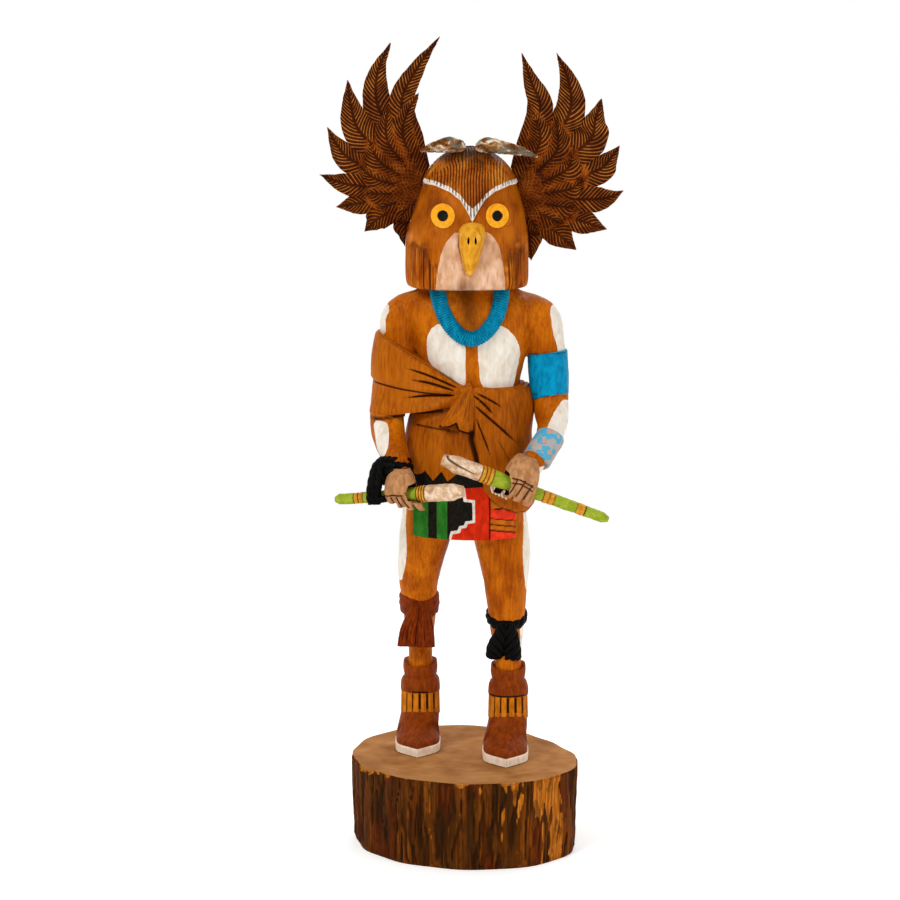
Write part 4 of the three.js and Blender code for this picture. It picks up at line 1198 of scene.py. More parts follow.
# Outlines of the knot's two ends in front view, and the fold lines down them.
LEAVES = [
    [
        (1.7, 231), (-0.4, 230), (-3, 226), (-6.4, 220.6), (-9.6, 215.6), (-12.4, 211.2), (-12, 210),
        (-8.4, 210.8), (-4.7, 212.9), (-3, 216), (-0.4, 222), (1.6, 228),
    ],
    [
        (1.7, 231), (3.2, 228), (3.6, 222), (3.4, 215), (2.9, 207.2), (0.2, 207.6), (-3.4, 208.8),
        (-4.9, 212.6), (-3.4, 216.4), (-0.8, 222), (1, 228),
    ],
]
LEAF_FOLDS = [
    ((-9.2, 211.6), (0.4, 229)), ((-6.6, 213.6), (1.0, 228)), ((-1.8, 209.8), (1.9, 226)),
    ((1.0, 209), (2.5, 226)),
]


def knot(material):
    """Two leaf-shaped ends that hang from the knot, each with fold lines down it."""
    rows = [
        (-4.6, -8, 203, 13, 11, 6, 2.3), (-4.4, -8, 211, 12.4, 11, 6, 2.3),
        (-2.6, -7.4, 219, 9.4, 10.2, 6, 2.3), (0.2, -7, 226, 6, 8.2, 6, 2.2),
        (1.6, -6.6, 231, 3.8, 6.6, 5, 2.1), (1.8, -6, 234, 2.4, 5, 4, 2),
    ]
    grid = rings(rows, turns(190, 1.3), 120)
    x, y, z = np.moveaxis(grid, -1, 0)
    flat = np.stack([x, z], -1).reshape(-1, 2)
    edge = np.max([grid_inside(x, z, leaf) for leaf in LEAVES], axis=0)
    folds = np.zeros(len(flat))
    for ends in LEAF_FOLDS:
        away, share = line_distance(flat, ends)
        taper = smooth(0, 0.35, share) * (1 - 0.5 * smooth(0.8, 1, share))
        folds = np.maximum(folds, np.exp(-(away / 0.7) ** 2) * taper)
    folds = folds.reshape(x.shape) * (y < -8)
    valley = np.exp(-(np.maximum(edge, 0) / 1.0) ** 2)
    grid = raised(grid, 0.12 * rough(grid, 4, 91) - 0.75 * folds - 1.0 * valley)
    piece = make("knot", closed(grid), material)
    paint_rings(piece, "groove", 0.35 * folds)
    whole = np.array([
        (1.7, 231.2), (-0.6, 230), (-3.2, 226), (-6.6, 220.6), (-9.8, 215.6), (-12.6, 211.2), (-12, 209.9),
        (-8.2, 210.6), (-4.9, 212.4), (-3.8, 208.9), (0.2, 207.5), (3, 207.1), (3.6, 215), (3.8, 222),
        (3.2, 228.4),
    ])
    return combine(piece, make("outline", prism(whole, -60, 0)), "INTERSECT")


# ---- ornaments ------------------------------------------------------------------------
def rope(rows, material, sides, levels, strands, twist, deep, side):
    """A lofted rope whose twisted strands are carved round it."""
    angle = turns(sides)
    grid = rings(rows, angle, levels, side=side)
    run = np.concatenate([[0], np.cumsum(np.linalg.norm(np.diff(grid.mean(1), axis=0), axis=1))])
    phase = strands * angle[None, :] + twist * run[:, None]
    strand = np.sqrt(np.abs(np.cos(phase / 2)))
    grid = raised(grid, deep * (strand - 1) + 0.08 * rough(grid, 2, 95))
    piece = make("rope", closed(grid), material)
    paint_rings(piece, "groove", smooth(0.35, 0.0, strand))
    return piece


def necklace(material):
    """A turquoise rope that hangs in front of the neck."""
    rows = [(-13.6, 9, 282), (-14.2, -2, 279), (-13.6, -7.4, 273), (-11.6, -9.8, 266), (-8, -11.4, 259.4),
            (-3, -12.4, 254.4), (2.4, -12.8, 252.6), (7.6, -12.4, 254.4), (12.4, -11.4, 259.4),
            (15.6, -9.8, 266), (17, -7.4, 273), (17, -2, 279), (16.4, 9, 282)]
    rows = [(*row, 3.2, 4.0, 4.0, 2) for row in rows]
    return rope(rows, material, 30, 400, 1, 5.4, 0.8, (0, -1, 0))


def armband(material):
    """A plain blue band round the left arm."""
    rows = [(41.3, 7, 222.3, 8.8, 9.6, 9.6, 2.2), (41.1, 7.1, 223, 9.5, 10.3, 10.3, 2.2),
            (40.6, 7.4, 233, 10, 10.6, 10.6, 2.2), (40, BODY_Y, 243.4, 9.9, 10.6, 10.6, 2.2),
            (39.9, BODY_Y, 244.2, 9.2, 9.9, 9.9, 2.2)]
    grid = rings(rows, turns(90), 60, side=(1, 0, 0), path=straight)
    return make("armband", closed(raised(grid, 0.12 * rough(grid, 4, 97))), material)


def cuff(material):
    """A pale blue cuff round the left wrist."""
    rows = [(41.6, -9.4, 204.6, 6.4, 7, 7, 2.2), (41.2, -9.9, 203.9, 7, 7.6, 7.6, 2.2),
            (34.4, -17.2, 194.3, 7.2, 7.6, 7.6, 2.2), (33.9, -17.7, 193.7, 6.6, 7, 7, 2.2)]
    grid = rings(rows, turns(80), 44, side=(0.8, 0, -0.6), path=straight)
    return make("cuff", closed(raised(grid, 0.12 * rough(grid, 3, 98))), material)


def wrist_yarn(material):
    """Black yarn wound round the right wrist, with a long looped tassel."""
    piece = None
    turn = np.linspace(0, 2 * math.pi, 60)
    coils = [(-35.2, -16.0, 192.8, 6.5), (-34.6, -17.8, 190.2, 6.9), (-34.0, -19.4, 187.6, 6.5)]
    for x, y, z, radius in coils:
        around = radius * np.stack([np.sin(turn), -0.95 * np.cos(turn), 0.26 * np.cos(turn)], -1)
        rows = round_rows([(*place, 2.2) for place in around + [x, y, z]])
        part = rope(rows, material, 22, 150, 3, 2.2, 0.6, (0, -0.26, -0.95))
        piece = combine(piece, part) if piece else part
    core = rings([(-33.8, -20, 185.6, 6.0, 6.4, 6.4, 2), (-35.4, -16, 194.6, 6.2, 6.6, 6.6, 2)], turns(32), 8)
    combine(piece, make("core", closed(core), material))
    for shift in (-1.3, 1.5):
        rows = round_rows([
            (-45.0 + shift * 0.8, -27, 173.4, 2.0), (-45.2 + shift, -26.8, 177.6, 2.4),
            (-44.6 + shift, -25.8, 184, 2.4), (-43 + shift * 0.7, -22.6, 191, 2.4),
            (-40.4 + shift * 0.3, -17, 193.6, 2.2),
        ])
        combine(piece, rope(rows, material, 24, 90, 3, 1.5, 0.5, (1, 0, 0)))
    for loop in (
        [(-45.4, -27, 174.6, 1.8), (-42, -27.4, 175.6, 1.8), (-38.6, -27.4, 176.6, 1.7)],
        [(-44.4, -24.6, 188, 2.4), (-41.4, -24.4, 186, 2.3), (-39.2, -24, 183.4, 1.8)],
    ):
        combine(piece, rope(round_rows(loop), material, 20, 40, 2, 1.6, 0.4, (0, 0, 1)))
    return piece


def knee_sash(material):
    """Red-brown cloth tied round the right knee, its two ends hanging in front."""
    angle = turns(110)
    rows = [(-23.3, 13.8, 111.4, 7.2, 8.0, 8.6, 2.2), (-23.3, 13.6, 112.6, 9.0, 9.8, 9.8, 2.2),
            (-23.3, 13.4, 117, 9.7, 10.8, 10.6, 2.2), (-23.4, 13, 121.6, 9.5, 10.6, 10.4, 2.2),
            (-23.4, 12.8, 122.8, 8.7, 9.7, 9.7, 2.2)]
    grid = rings(rows, angle, 50, path=straight)
    x, y, z = np.moveaxis(grid, -1, 0)
    sag = 2.6 * np.exp(-((x + 22) / 6) ** 2) * (y < 8)
    fold = np.abs(np.sin((z + sag) * 0.9 + 1.4 * np.sin(angle * 2)[None, :])) ** 0.35
    grid = raised(grid, 0.5 * (fold - 1) + 0.5)
    grid[..., 2] -= sag
    piece = make("knee_sash", closed(grid), material)
    paint_rings(piece, "groove", 0.7 * smooth(0.5, 0.1, fold))
    for x_top, x_foot, wide, z_foot in ((-26, -29.6, 4.6, 96.4), (-20.8, -20.2, 4.7, 96)):
        flap = [
            (x_foot, 5.6, z_foot, wide * 0.98, 2.0, 3, 3.8), (x_foot, 5.4, z_foot + 0.8, wide, 2.3, 3, 3.8),
            (x_foot * 0.7 + x_top * 0.3, 4.8, z_foot + 9, wide * 0.92, 2.7, 3, 3.2),
            (x_top, 3.8, 114, wide * 0.66, 3, 3, 2.6), (x_top * 0.7 - 7, 3.0, 119.4, wide * 0.3, 2.4, 3, 2),
        ]
        turn = turns(96)
        grid = rings(flap, turn, 90)
        share = np.linspace(0, 1, len(grid))[:, None]
        across = np.sin(turn)[None, :]
        uneven = noise(np.stack(np.broadcast_arrays(across * 2, share * 3, x_top), -1), 1, 6)
        pleat = across * 7.5 + 1.4 * uneven
        line = np.abs(np.sin(pleat)) ** 0.4
        line = np.where(np.cos(turn)[None, :] > 0.05, line, 1)
        line = 1 - (1 - line) * smooth(0.0, 0.1, share)
        part = make("flap", closed(raised(grid, 0.75 * (line - 1))), material)
        paint_rings(part, "groove", 0.9 * smooth(0.55, 0.1, line))
        combine(piece, part)
    return piece


def knee_yarn(material):
    """A thick black yarn tied round the left knee, with two roped tassels."""
    turn = np.linspace(0, 2 * math.pi, 80)
    x, y, z = 20.1 + 7.4 * np.sin(turn), 3.6 - 9.7 * np.cos(turn), 112.4 - 3.6 * np.cos(turn)
    rows = round_rows([(*place, 3.2) for place in np.stack([x, y, z], -1)])
    piece = rope(rows, material, 30, 220, 3, 1.4, 0.7, (0.01, -0.3, 0.95))
    core = rings([(20.2, 2.4, 107, 8.4, 9.2, 9, 2), (20.2, 2.8, 117, 8.2, 9.2, 9, 2)], turns(40), 6)
    combine(piece, make("core", closed(core), material))
    for x_top, x_foot, z_foot, way in ((17.8, 14.4, 92.4, 1), (21.4, 22.6, 91.4, -1)):
        rows = [
            (x_foot, -6.6, z_foot, 3.0, 2.4, 2.8, 2.2), (x_foot, -7.2, z_foot + 2, 4.8, 3.6, 3.6, 2.2),
            (x_foot * 0.75 + x_top * 0.25, -8, z_foot + 8, 4.7, 4.0, 3.6, 2.2),
            (x_top, -8.4, 106, 4.2, 3.8, 3.4, 2.2), (x_top * 0.6 + 7.8, -8.6, 110.8, 2.8, 3, 3, 2),
        ]
        combine(piece, rope(rows, material, 90, 110, 6, way * 1.5, 1.2, None))
    return piece


TOE_DROP = 13.0  # how far the corners of a foot lie behind its toe


def boot(x, y, toe_reach, wide, lean, base):
    """A boot round x and y: fringe band from `base` up, rolled cuff, top, foot and sole."""
    red, tan, sole = (bpy.data.materials[name] for name in ("boot_leather", "fringe", "sole_paint"))
    angle = turns(110)

    def leg(up, more):
        """A ring round the leg, from its height over the base and how much wider it is."""
        half = wide + more
        return (x, y, base + up, half, half + 0.3, half + 0.3, 2.3)

    band = [leg(-2, -0.8), leg(-1.2, 0.1), leg(11, -0.2), leg(11.6, -0.3)]
    grid = rings(band, angle, 46, path=straight)
    slits = 0.5 + 0.5 * np.cos(17 * angle + 0.5 * np.sin(angle * 3 + x))[None, :]
    sharp = 0.9 - 0.04 * smooth(base, base + 10, grid[..., 2])
    slit = smooth(sharp, sharp + 0.05, slits) * smooth(base - 1.6, base, grid[..., 2])
    piece = make("fringe", closed(raised(grid, -0.8 * slit)), tan)
    paint_rings(piece, "groove", slit)
    rolled = [(9.8, -1.2), (10.2, -0.3), (11.2, 0.1), (14.6, -0.1), (16.8, -0.8), (18, -1.9)]
    top = [(16.8, -2.4), (18.2, -1.8), (21, -1.3), (24.4, -1.3), (26, -1.7), (25.2, -3.0)]
    for name, rows, dip in (("cuff", rolled, 0.0), ("top", top, 2.4)):
        grid = rings([leg(*row) for row in rows], angle, 44)
        grid = raised(grid, 0.14 * rough(grid, 4, 7))
        rise = smooth(base + 20, base + 25, grid[..., 2])
        grid[..., 2] -= dip * rise * smooth(-0.1, 0.95, np.cos(angle))[None, :]
        combine(piece, make(name, closed(grid), red))
    edge = SOLE + SOLE_THICK
    half = wide + 1.4
    heel = 10.0

    def foot(rows, material, path):
        """Rings drawn back at the toe's corners and in at the heel."""
        grid = rings(rows, turns(150), 40, path=path)
        u = (grid[..., 0] - x - lean) / half
        low = 1 - smooth(edge + 6, edge + 13, grid[..., 2])
        front = smooth(y - 4, y - toe_reach * 0.7, grid[..., 1]) * low
        back = smooth(y + 1, y + heel, grid[..., 1])
        grid[..., 1] += TOE_DROP * np.abs(u) * front
        grid[..., 0] -= 0.3 * u * half * back
        return make("foot", closed(raised(grid, 0.08 * rough(grid, 4, 9))), material)

    def ring(z, half_wide, front, back=heel, shift=0.0, power=9.0):
        """A ring of the foot, set over from the leg by `lean`."""
        return (x + shift + lean, y, z, half_wide, front, back, power)

    shoe = [
        ring(SOLE + 0.4, half - 0.4, toe_reach - 0.3), ring(edge + 1.6, half - 0.4, toe_reach - 0.6),
        ring(edge + 4.4, half - 0.7, toe_reach - 4.0, power=5.0),
        ring(edge + 8.0, half - 1.2, toe_reach - 9.4, shift=-lean * 0.3, power=3.8),
        ring(edge + 12.0, wide - 0.1, 12.6, shift=-lean * 0.8, power=2.8),
        ring(base + 0.4, wide - 0.5, 10.4, 9.6, -lean, 2.4), ring(base + 2.4, wide - 1.4, 9, 9, -lean, 2.3),
    ]
    combine(piece, foot(shoe, red, spline))
    tread = [
        ring(SOLE, half, toe_reach + 0.8, heel + 0.4),
        ring(edge - 0.3, half + 0.1, toe_reach + 0.9, heel + 0.5),
        ring(edge, half - 0.1, toe_reach + 0.6, heel + 0.2),
    ]
    return combine(piece, foot(tread, sole, straight))


HAND_VOXEL = 0.4
HAND_TRIANGLES = 15000


def hand(middle, half, fingers, lean, lines, material):
    """A closed hand: a rounded back with four curled fingers cut apart.

    A finger is how far it falls short of the hand's foot, and how far it leans sideways.
    """
    x, y, z = middle
    wide, deep, tall = half
    palm = [
        (0, 0, -tall * 0.62, wide * 0.8, deep * 0.8, deep, 2.8),
        (0, 0, -tall * 0.3, wide * 0.96, deep, deep, 2.7), (0, 0, tall * 0.2, wide, deep, deep, 2.6),
        (0, 0.6, tall * 0.62, wide * 0.86, deep * 0.92, deep, 2.4),
        (0, 1.4, tall, wide * 0.56, deep * 0.66, deep * 0.8, 2.2),
    ]
    parts = [closed(rings(palm, turns(40), 30))]
    size = wide * 2 / len(fingers)
    for i, (drop, push) in enumerate(fingers):
        u = -wide + size * (i + 0.5)
        rows = [
            (u + push * 1.5, -deep * 0.3, -tall * 0.94 + drop, size * 0.44, 3.0, 3.6, 2.4),
            (u + push, -deep * 0.5, -tall * 0.7 + drop, size * 0.52, 4.0, 4, 2.5),
            (u + push * 0.5, -deep * 0.62, -tall * 0.3, size * 0.54, 4.0, 4, 2.5),
            (u, -deep * 0.5, 1.0, size * 0.5, 3.2, 4, 2.2), (u, -deep * 0.3, 4, size * 0.4, 2, 4, 2),
        ]
        parts.append(closed(rings(rows, turns(24), 24)))
    points, faces = merged(*parts)
    cos, sin = math.cos(lean), math.sin(lean)
    u, v, w = points.T
    points = np.column_stack([u * cos + w * sin, v, -u * sin + w * cos]) + [x, y, z]
    piece = fused("hand", (points, faces), HAND_VOXEL, 5, material)
    points = places(piece)
    cut = hand_cuts(points, lines, y)
    move(piece, points - facing(piece) * (0.75 * cut - 0.1 * rough(points, 3, 17))[:, None])
    thinned(piece, HAND_TRIANGLES)
    paint_line(piece, "groove", 0.8 * hand_cuts(places(piece), lines, y))
    return piece


def hand_cuts(points, lines, y):
    """Share of the full depth of the lines cut between the fingers, in front only."""
    flat = points[:, [0, 2]]
    cut = np.zeros(len(flat))
    for line in lines:
        away, share = line_distance(flat, line)
        taper = smooth(0, 0.12, share) * (1 - smooth(0.9, 1, share))
        cut = np.maximum(cut, np.exp(-(away / 0.42) ** 2) * taper)
    return cut * (points[:, 1] < y - 2)


# Lines cut between the fingers, as x and z.
RIGHT_HAND_LINES = [
    [(-39.8, 178.3), (-36, 178.7), (-30.2, 178.4)], [(-36.9, 178.2), (-35.6, 175.6), (-33.6, 172.2)],
    [(-34.4, 178.6), (-32.6, 175), (-30.2, 171)], [(-31.8, 178.3), (-30, 175), (-27.4, 171.8)],
    [(-30, 180.6), (-28.6, 178), (-26.4, 175.4), (-21, 175.2)],
]
LEFT_HAND_LINES = [
    [(21.2, 187.3), (26.3, 186.3), (33.2, 182.2)], [(21.2, 185.0), (26.3, 184.3), (33, 180.2)],
    [(24.9, 187.4), (23.9, 184.5), (20.4, 179.0)], [(28.8, 186.4), (27.3, 183.5), (23.3, 177.2)],
    [(32.4, 184.2), (30.7, 182.0), (26.9, 175.8)],
]
# Where a wand comes out of the fist, the hand is cut away in front of it.
RIGHT_MOUTH = [
    (-29.2, 180), (-28.6, 182.4), (-26.6, 183.8), (-14, 185.6), (-14, 176), (-27, 175.8), (-28.8, 177.2),
]
LEFT_MOUTH = [(19.2, 190.6), (21, 187.6), (21.6, 184.6), (20.6, 181.2), (19, 178.6), (4, 184), (4, 198)]


def hands(material):
    """Both fists, each cut away where its wand comes out."""
    fingers = [(2.8, 1.4), (0.9, 2.0), (0.2, 2.6), (0.2, 3.6)]
    place, half = (-32.2, -24.4, 180.6), (7.7, 8.6, 10.2)
    right = hand(place, half, fingers, math.radians(3), RIGHT_HAND_LINES, material)
    fingers = [(1.4, -2.0), (0.6, -1.4), (0.0, -1.0), (-0.8, -0.6)]
    place, half = (26.4, -25, 185.6), (8.6, 8.6, 11.4)
    left = hand(place, half, fingers, math.radians(16), LEFT_HAND_LINES, material)
    for piece, mouth, back in ((right, RIGHT_MOUTH, -26.2), (left, LEFT_MOUTH, -27)):
        block = prism(curve(mouth, loop=True), -60, back)
        # The cut faces round the wand carry painted shade.
        combine(piece, make("mouth", block, cut_shade_material()), "DIFFERENCE")
    return combine(right, left)


# ---- sash -----------------------------------------------------------------------------
SASH = [
    (-26.4, 190), (-26.2, 154.4), (-18, 153.6), (-9.6, 153), (0, 152.7), (11.4, 152.6), (25, 153.4),
    (25.6, 190),
]
SASH_SLOPE = 0.13  # of the bars on its left, which fall outwards


def sash(material):
    """The painted sash that hangs in front of the hips, its fringe cut in bars on the left."""
    angle = turns(300, 1.45)
    grid = rings(HIPS, angle, 110, grow=0.8)
    x, y, z = np.moveaxis(grid, -1, 0)
    line = sum(np.exp(-((x - at) / 0.34) ** 2) for at in (-8.9, 11.6))
    drop = SASH_SLOPE * (x - 12)
    level = z + drop
    bars = sum(np.exp(-((level - at) / 0.34) ** 2) for at in (157.7, 160.6, 163.7, 168.9))
    cut = np.clip(line + bars * (x > 11.6) * (x < 24.6), 0, 1) * (y < BODY_Y)
    lift = -0.6 * cut - 0.5 * smooth(157.6, 158.2, level) * (1 - smooth(163.0, 163.6, level)) * (x > 11.6)
    edge = grid_inside(x, z, SASH)
    lift = lift - 0.5 * np.exp(-(np.maximum(edge, 0) / 0.6) ** 2) + 0.12 * rough(grid, 5, 83)
    piece = make("sash", closed(raised(grid, lift)), material)
    paint_rings(piece, "groove", cut)
    return combine(piece, make("outline", prism(SASH, -80, BODY_Y)), "INTERSECT")


# Outer edge of the stepped white line, from the top down.
SASH_WHITE = [
    (-1.6, 190), (-0.6, 178.6), (0, 173.5), (4.2, 173.1), (4.4, 161.7), (0.7, 161.1), (0.1, 159.2),
    (-2.4, 158.8), (-3, 156.6), (-6.7, 155.8), (-7.4, 153), (-7.4, 150),
]
# The black block inside it.
SASH_BLACK = [
    (-2.8, 190), (-2.0, 177.6), (-1.4, 172.3), (2.9, 171.9), (3.1, 162.9), (-0.5, 162.4), (-1.2, 160.4),
    (-3.6, 160.0), (-4.2, 157.9), (-7.6, 157.3), (-8.4, 154.6), (-8.6, 150),
]


def sash_paint(piece):
    """The sash's painted borders."""
    points = places(piece)
    flat = points[:, [0, 2]]
    x, z = flat.T
    left = [(-14, 150), (-14, 190)]
    paint_line(piece, "sash_white", inside(flat, np.array(SASH_WHITE + left)))
    paint_line(piece, "sash_inner", inside(flat, np.array(SASH_BLACK + left)))
    paint_line(piece, "sash_green", -9.3 - x)
    paint_line(piece, "sash_bar", np.minimum(x + 18.7, -14.5 - x))
    paint_line(piece, "sash_belt", z - (179.4 + 0.06 * (x - 5)))
    paint_line(piece, "sash_fringe", x - 11.9)
    drop = SASH_SLOPE * (x - 12)
    gap = np.minimum(z + drop - 157.8, 163.6 - z - drop)
    paint_line(piece, "sash_brown", np.maximum(np.maximum(gap, z + drop - 168.8), x - 24.3))


def sash_material():
    """Red, white, black, green, pink and brown paint, each inside its own border."""
    shader = Shader("sash_paint", 0.5)
    red = brushed_paint(shader, "#e02f0a", "#b82105", (3, 3, 6))
    white = brushed_paint(shader, "#ebe2d8", "#d3c2b2", 1.5)
    black = brushed_paint(shader, "#0c0a07", "#1d1912", (1.6, 1.6, 2))
    green = brushed_paint(shader, "#2f7a22", "#22611a", (3, 3, 6))
    pink = brushed_paint(shader, "#ee3c20", "#cc2c14", 3)
    brown = brushed_paint(shader, "#cc6a0c", "#a34f08", (3, 3, 5))
    colour = shader.layer(red, "sash_white", white, 0.1)
    colour = shader.layer(colour, "sash_inner", black, 0.14)
    colour = shader.layer(colour, "sash_green", green, 0.1)
    colour = shader.layer(colour, "sash_bar", black, 0.15)
    fringe = shader.mix(shader.step(shader.attribute("sash_brown"), -0.1, 0.1), pink, brown)
    colour = shader.layer(colour, "sash_fringe", fringe, 0.1)
    colour = shader.layer(colour, "sash_belt", black, 0.2)
    # Stain and painted shade in the cut lines and bars.
    colour = cut_stain_and_shade(shader, colour, "#1c0c05", 0.9)
    shader.bump(shader.noise((0.8, 0.8, 3), 3), 0.08)
    return shader.done(colour)


def sash_ends():
    """Short white strands of a belt end, showing under the left wand."""
    solids = []
    for i in range(5):
        share = i / 4
        x, z = 12.4 + 6.6 * share, 179.2 - 3.0 * share
        rows = [
            (x + 0.5, -14.6 - 0.6 * share, z - 2.2, 0.55, 1.4, 2.4, 2),
            (x, -14.4 - 0.6 * share, z, 0.8, 1.6, 2.6, 2),
            (x - 0.4, -14.2 - 0.6 * share, z + 2.6, 0.7, 1.3, 2.4, 2),
        ]
        solids.append(closed(rings(rows, turns(16), 14)))
    return make("sash_ends", merged(*solids), bpy.data.materials["sole_paint"])


# ---- paint on the carved figure -------------------------------------------------------
# Outlines of the white patches, in front view.
CHEST_PATCHES = [
    [
        (-19.4, 249.6), (-17.6, 256.4), (-13.6, 259.6), (-9, 258), (-3.6, 252.6), (-0.6, 250.6),
        (-0.4, 240), (-0.8, 228), (-5.6, 231), (-11.6, 234.6), (-18, 240.4),
    ],
    [
        (5.8, 250.6), (9, 252.8), (13.4, 257.6), (17.6, 258.6), (23, 254), (26.2, 246.4), (25.2, 238),
        (21.9, 226), (15, 227), (7.8, 229), (6, 240),
    ],
]
SIDE_PATCHES = [
    [(41.4, 266.4), (46, 267.4), (52, 262), (52, 242), (45.8, 242.6), (44.4, 248), (42.6, 254), (41.7, 260)],
    [(48.4, 221), (44.4, 217.4), (40.8, 211.4), (38.9, 206.2), (41.2, 200.6), (46, 198.4), (52, 206),
     (54, 216)],
    [(-45.2, 210.6), (-42.4, 211.8), (-38.9, 210.8), (-37.8, 206), (-38.3, 200.4), (-40.6, 195),
     (-43, 197), (-44.4, 203)],
    [(-29.6, 186), (-29.8, 160), (-29.4, 146), (-30.6, 136), (-33.4, 129.6), (-44, 140), (-44, 186)],
    [(28.2, 186), (28.4, 160), (28, 146), (28.6, 134), (31.4, 123.4), (42, 130), (42, 186)],
    [(27.2, 110), (26.8, 100), (27.6, 90), (34, 92), (34, 110)],
    [(-37.8, 267), (-39.6, 261), (-40.6, 253), (-52, 253), (-48, 270)],
]


def carved_material():
    """Orange-brown stained cottonwood with white painted patches."""
    shader = Shader("carved_wood", 0.48)
    streaks = shader.noise((1.0, 1.0, 12), 4, 0.5)
    blotches = shader.noise((12, 12, 17), 4)
    specks = shader.noise((0.55, 0.55, 1.3), 3)
    both = shader.share(streaks, 0.35, blotches)
    colour = shader.ramp(both, [(0.36, "#8f4000"), (0.48, "#b35a02"), (0.6, "#c86c08"), (0.7, "#d8801c")])
    colour = shader.tint(colour, shader.step(specks, 0.58, 0.72), 0.55, "#6a2f02")
    mottle = shader.noise((2.6, 2.6, 6), 4, 0.5)
    colour = shader.tint(colour, shader.step(mottle, 0.5, 0.66), 0.45, "#8a3c02")
    cloudy = shader.noise((3, 3, 6), 5, 0.5)
    white = shader.ramp(cloudy, [(0.3, "#d9c9b4"), (0.5, "#e6dccd"), (0.7, "#efe8dd")])
    colour = shader.layer(colour, "white", white, 0.35)
    # Stain and painted shade in the cuts and in the corners on the body.
    colour = cut_stain_and_shade(shader, colour, "#240b03", 0.9)
    shader.bump(streaks, 0.14)
    shader.bump(specks, 0.05)
    return shader.done(colour)


def robe_material():
    """Root rubbed with a brown stain: streaks up the grain, blotches, dark pores."""
    shader = Shader("robe_wood", 0.5)
    streaks = shader.noise((1.1, 1.1, 11), 4, 0.4)
    pores = shader.noise((0.35, 0.35, 4), 2)
    both = shader.share(streaks, 0.5, shader.noise((16, 16, 24), 3))
    colour = shader.ramp(both, [(0.32, "#7c3802"), (0.5, "#a65404"), (0.68, "#be6a0e")])
    colour = shader.tint(colour, shader.step(pores, 0.64, 0.8), 0.5, "#7c3802")
    # Stain and painted shade in the fold lines and under the robe's edges.
    colour = cut_stain_and_shade(shader, colour, "#2a0b02", 0.95)
    shader.bump(streaks, 0.12)
    shader.bump(pores, 0.05)
    return shader.done(colour)


def mask_material():
    """Face, crown, cheeks, white brow line, pale muzzle and eyes, each inside its own border."""
    shader = Shader("mask_paint", 0.48)
    streaks = shader.noise((0.9, 0.9, 12), 4, 0.4)
    blotches = shader.noise((10, 10, 14), 3, 0.3)
    both = shader.share(streaks, 0.35, blotches)
    face = shader.ramp(both, [(0.36, "#813a02"), (0.5, "#a35004"), (0.64, "#b8620c")])
    scored = shader.ramp(both, [(0.36, "#7c3402"), (0.5, "#b05406"), (0.66, "#d67e1e")])
    colour = shader.mix(shader.step(shader.wobble("cheek", 1.2, 4), -1.5, 3), face, scored)
    # Soft dark patches, from noise, along the cheek border.
    cheek_dark_patch = shader.step(shader.noise((8, 8, 6), 2), 0.42, 0.6)
    near = shader.step(shader.attribute("cheek"), -7, 3)
    away = shader.math("SUBTRACT", 1.0, shader.step(shader.attribute("cheek"), 1, 13))
    cheek_dark_patch = shader.math("MULTIPLY", shader.math("MULTIPLY", cheek_dark_patch, near), away)
    colour = shader.tint(colour, cheek_dark_patch, 0.75, "#4a2004")
    crown = shader.ramp(both, [(0.36, "#7e3802"), (0.5, "#aa560a"), (0.66, "#d6842c")])
    soot = shader.step(shader.wobble("height", 2, 4), 335, 342)
    crown = shader.tint(crown, soot, 0.85, "#1c0f06")
    colour = shader.layer(colour, "crown", crown, 0.15)
    white = shader.ramp(shader.noise((2, 2, 4), 4), [(0.35, "#d3bfac"), (0.55, "#f0e5da")])
    colour = shader.layer(colour, "brow", white, 0.1)
    cloudy = shader.noise((4, 4, 9), 4, 0.4)
    pale = shader.ramp(cloudy, [(0.32, "#b98662"), (0.5, "#d6a580"), (0.68, "#e8c0a2")])
    smear = shader.step(shader.noise((2.6, 2.6, 8), 4, 0.5), 0.56, 0.68)
    pale = shader.tint(pale, smear, 0.5, "#a56a3e")
    colour = shader.layer(colour, "muzzle", pale, 0.35)
    # Stain and painted shade in the gouges.
    colour = cut_stain_and_shade(shader, colour, "#2e1002", 0.88)
    ring = shader.step(shader.attribute("eye"), -0.5, -0.2)
    colour = shader.tint(colour, ring, 0.75, "#6b3206")
    yellow = brushed_paint(shader, "#f8aa26", "#e8961a", 3)
    colour = shader.layer(colour, "eye", yellow, 0.08)
    colour = shader.layer(colour, "pupil", "#16130f", 0.12)
    shader.bump(streaks, 0.1)
    return shader.done(colour)


def ornament_materials():
    """The figure's plain painted parts, by name."""
    return {
        "necklace": painted_wood("necklace_paint", "#068cb2", "#006c8c", "#6b3a12", 0.42, 0.78, "#05333f"),
        "armband": painted_wood("armband_paint", "#0092bc", "#007099", "#7ab4c0", 0.45, 0.76, "#04404f"),
        "boot": painted_wood("boot_leather", "#8d3c06", "#6c2a03", "#ac5814", 0.5, 0.74, "#240a02"),
        "fringe": painted_wood("fringe", "#cf7a16", "#a85a08", "#e09c44", 0.55, 0.7, "#2e0f02"),
        "sole": painted_wood("sole_paint", "#f8ead8", "#e8d0b4", "#9a6436", 0.6, 0.78, "#5a2c10"),
        "yarn": painted_wood("yarn_paint", "#0b0a08", "#040303", "#1d1a15", 0.5, 0.74, "#010101"),
        "sash_cloth": painted_wood("knee_sash_paint", "#7f3002", "#5f1f01", "#9c4a10", 0.52, 0.76, "#260902"),
        "hand": painted_wood("hand_wood", "#c28c60", "#9c6a40", "#d8aa80", 0.52, 0.7, "#3a1808"),
    }


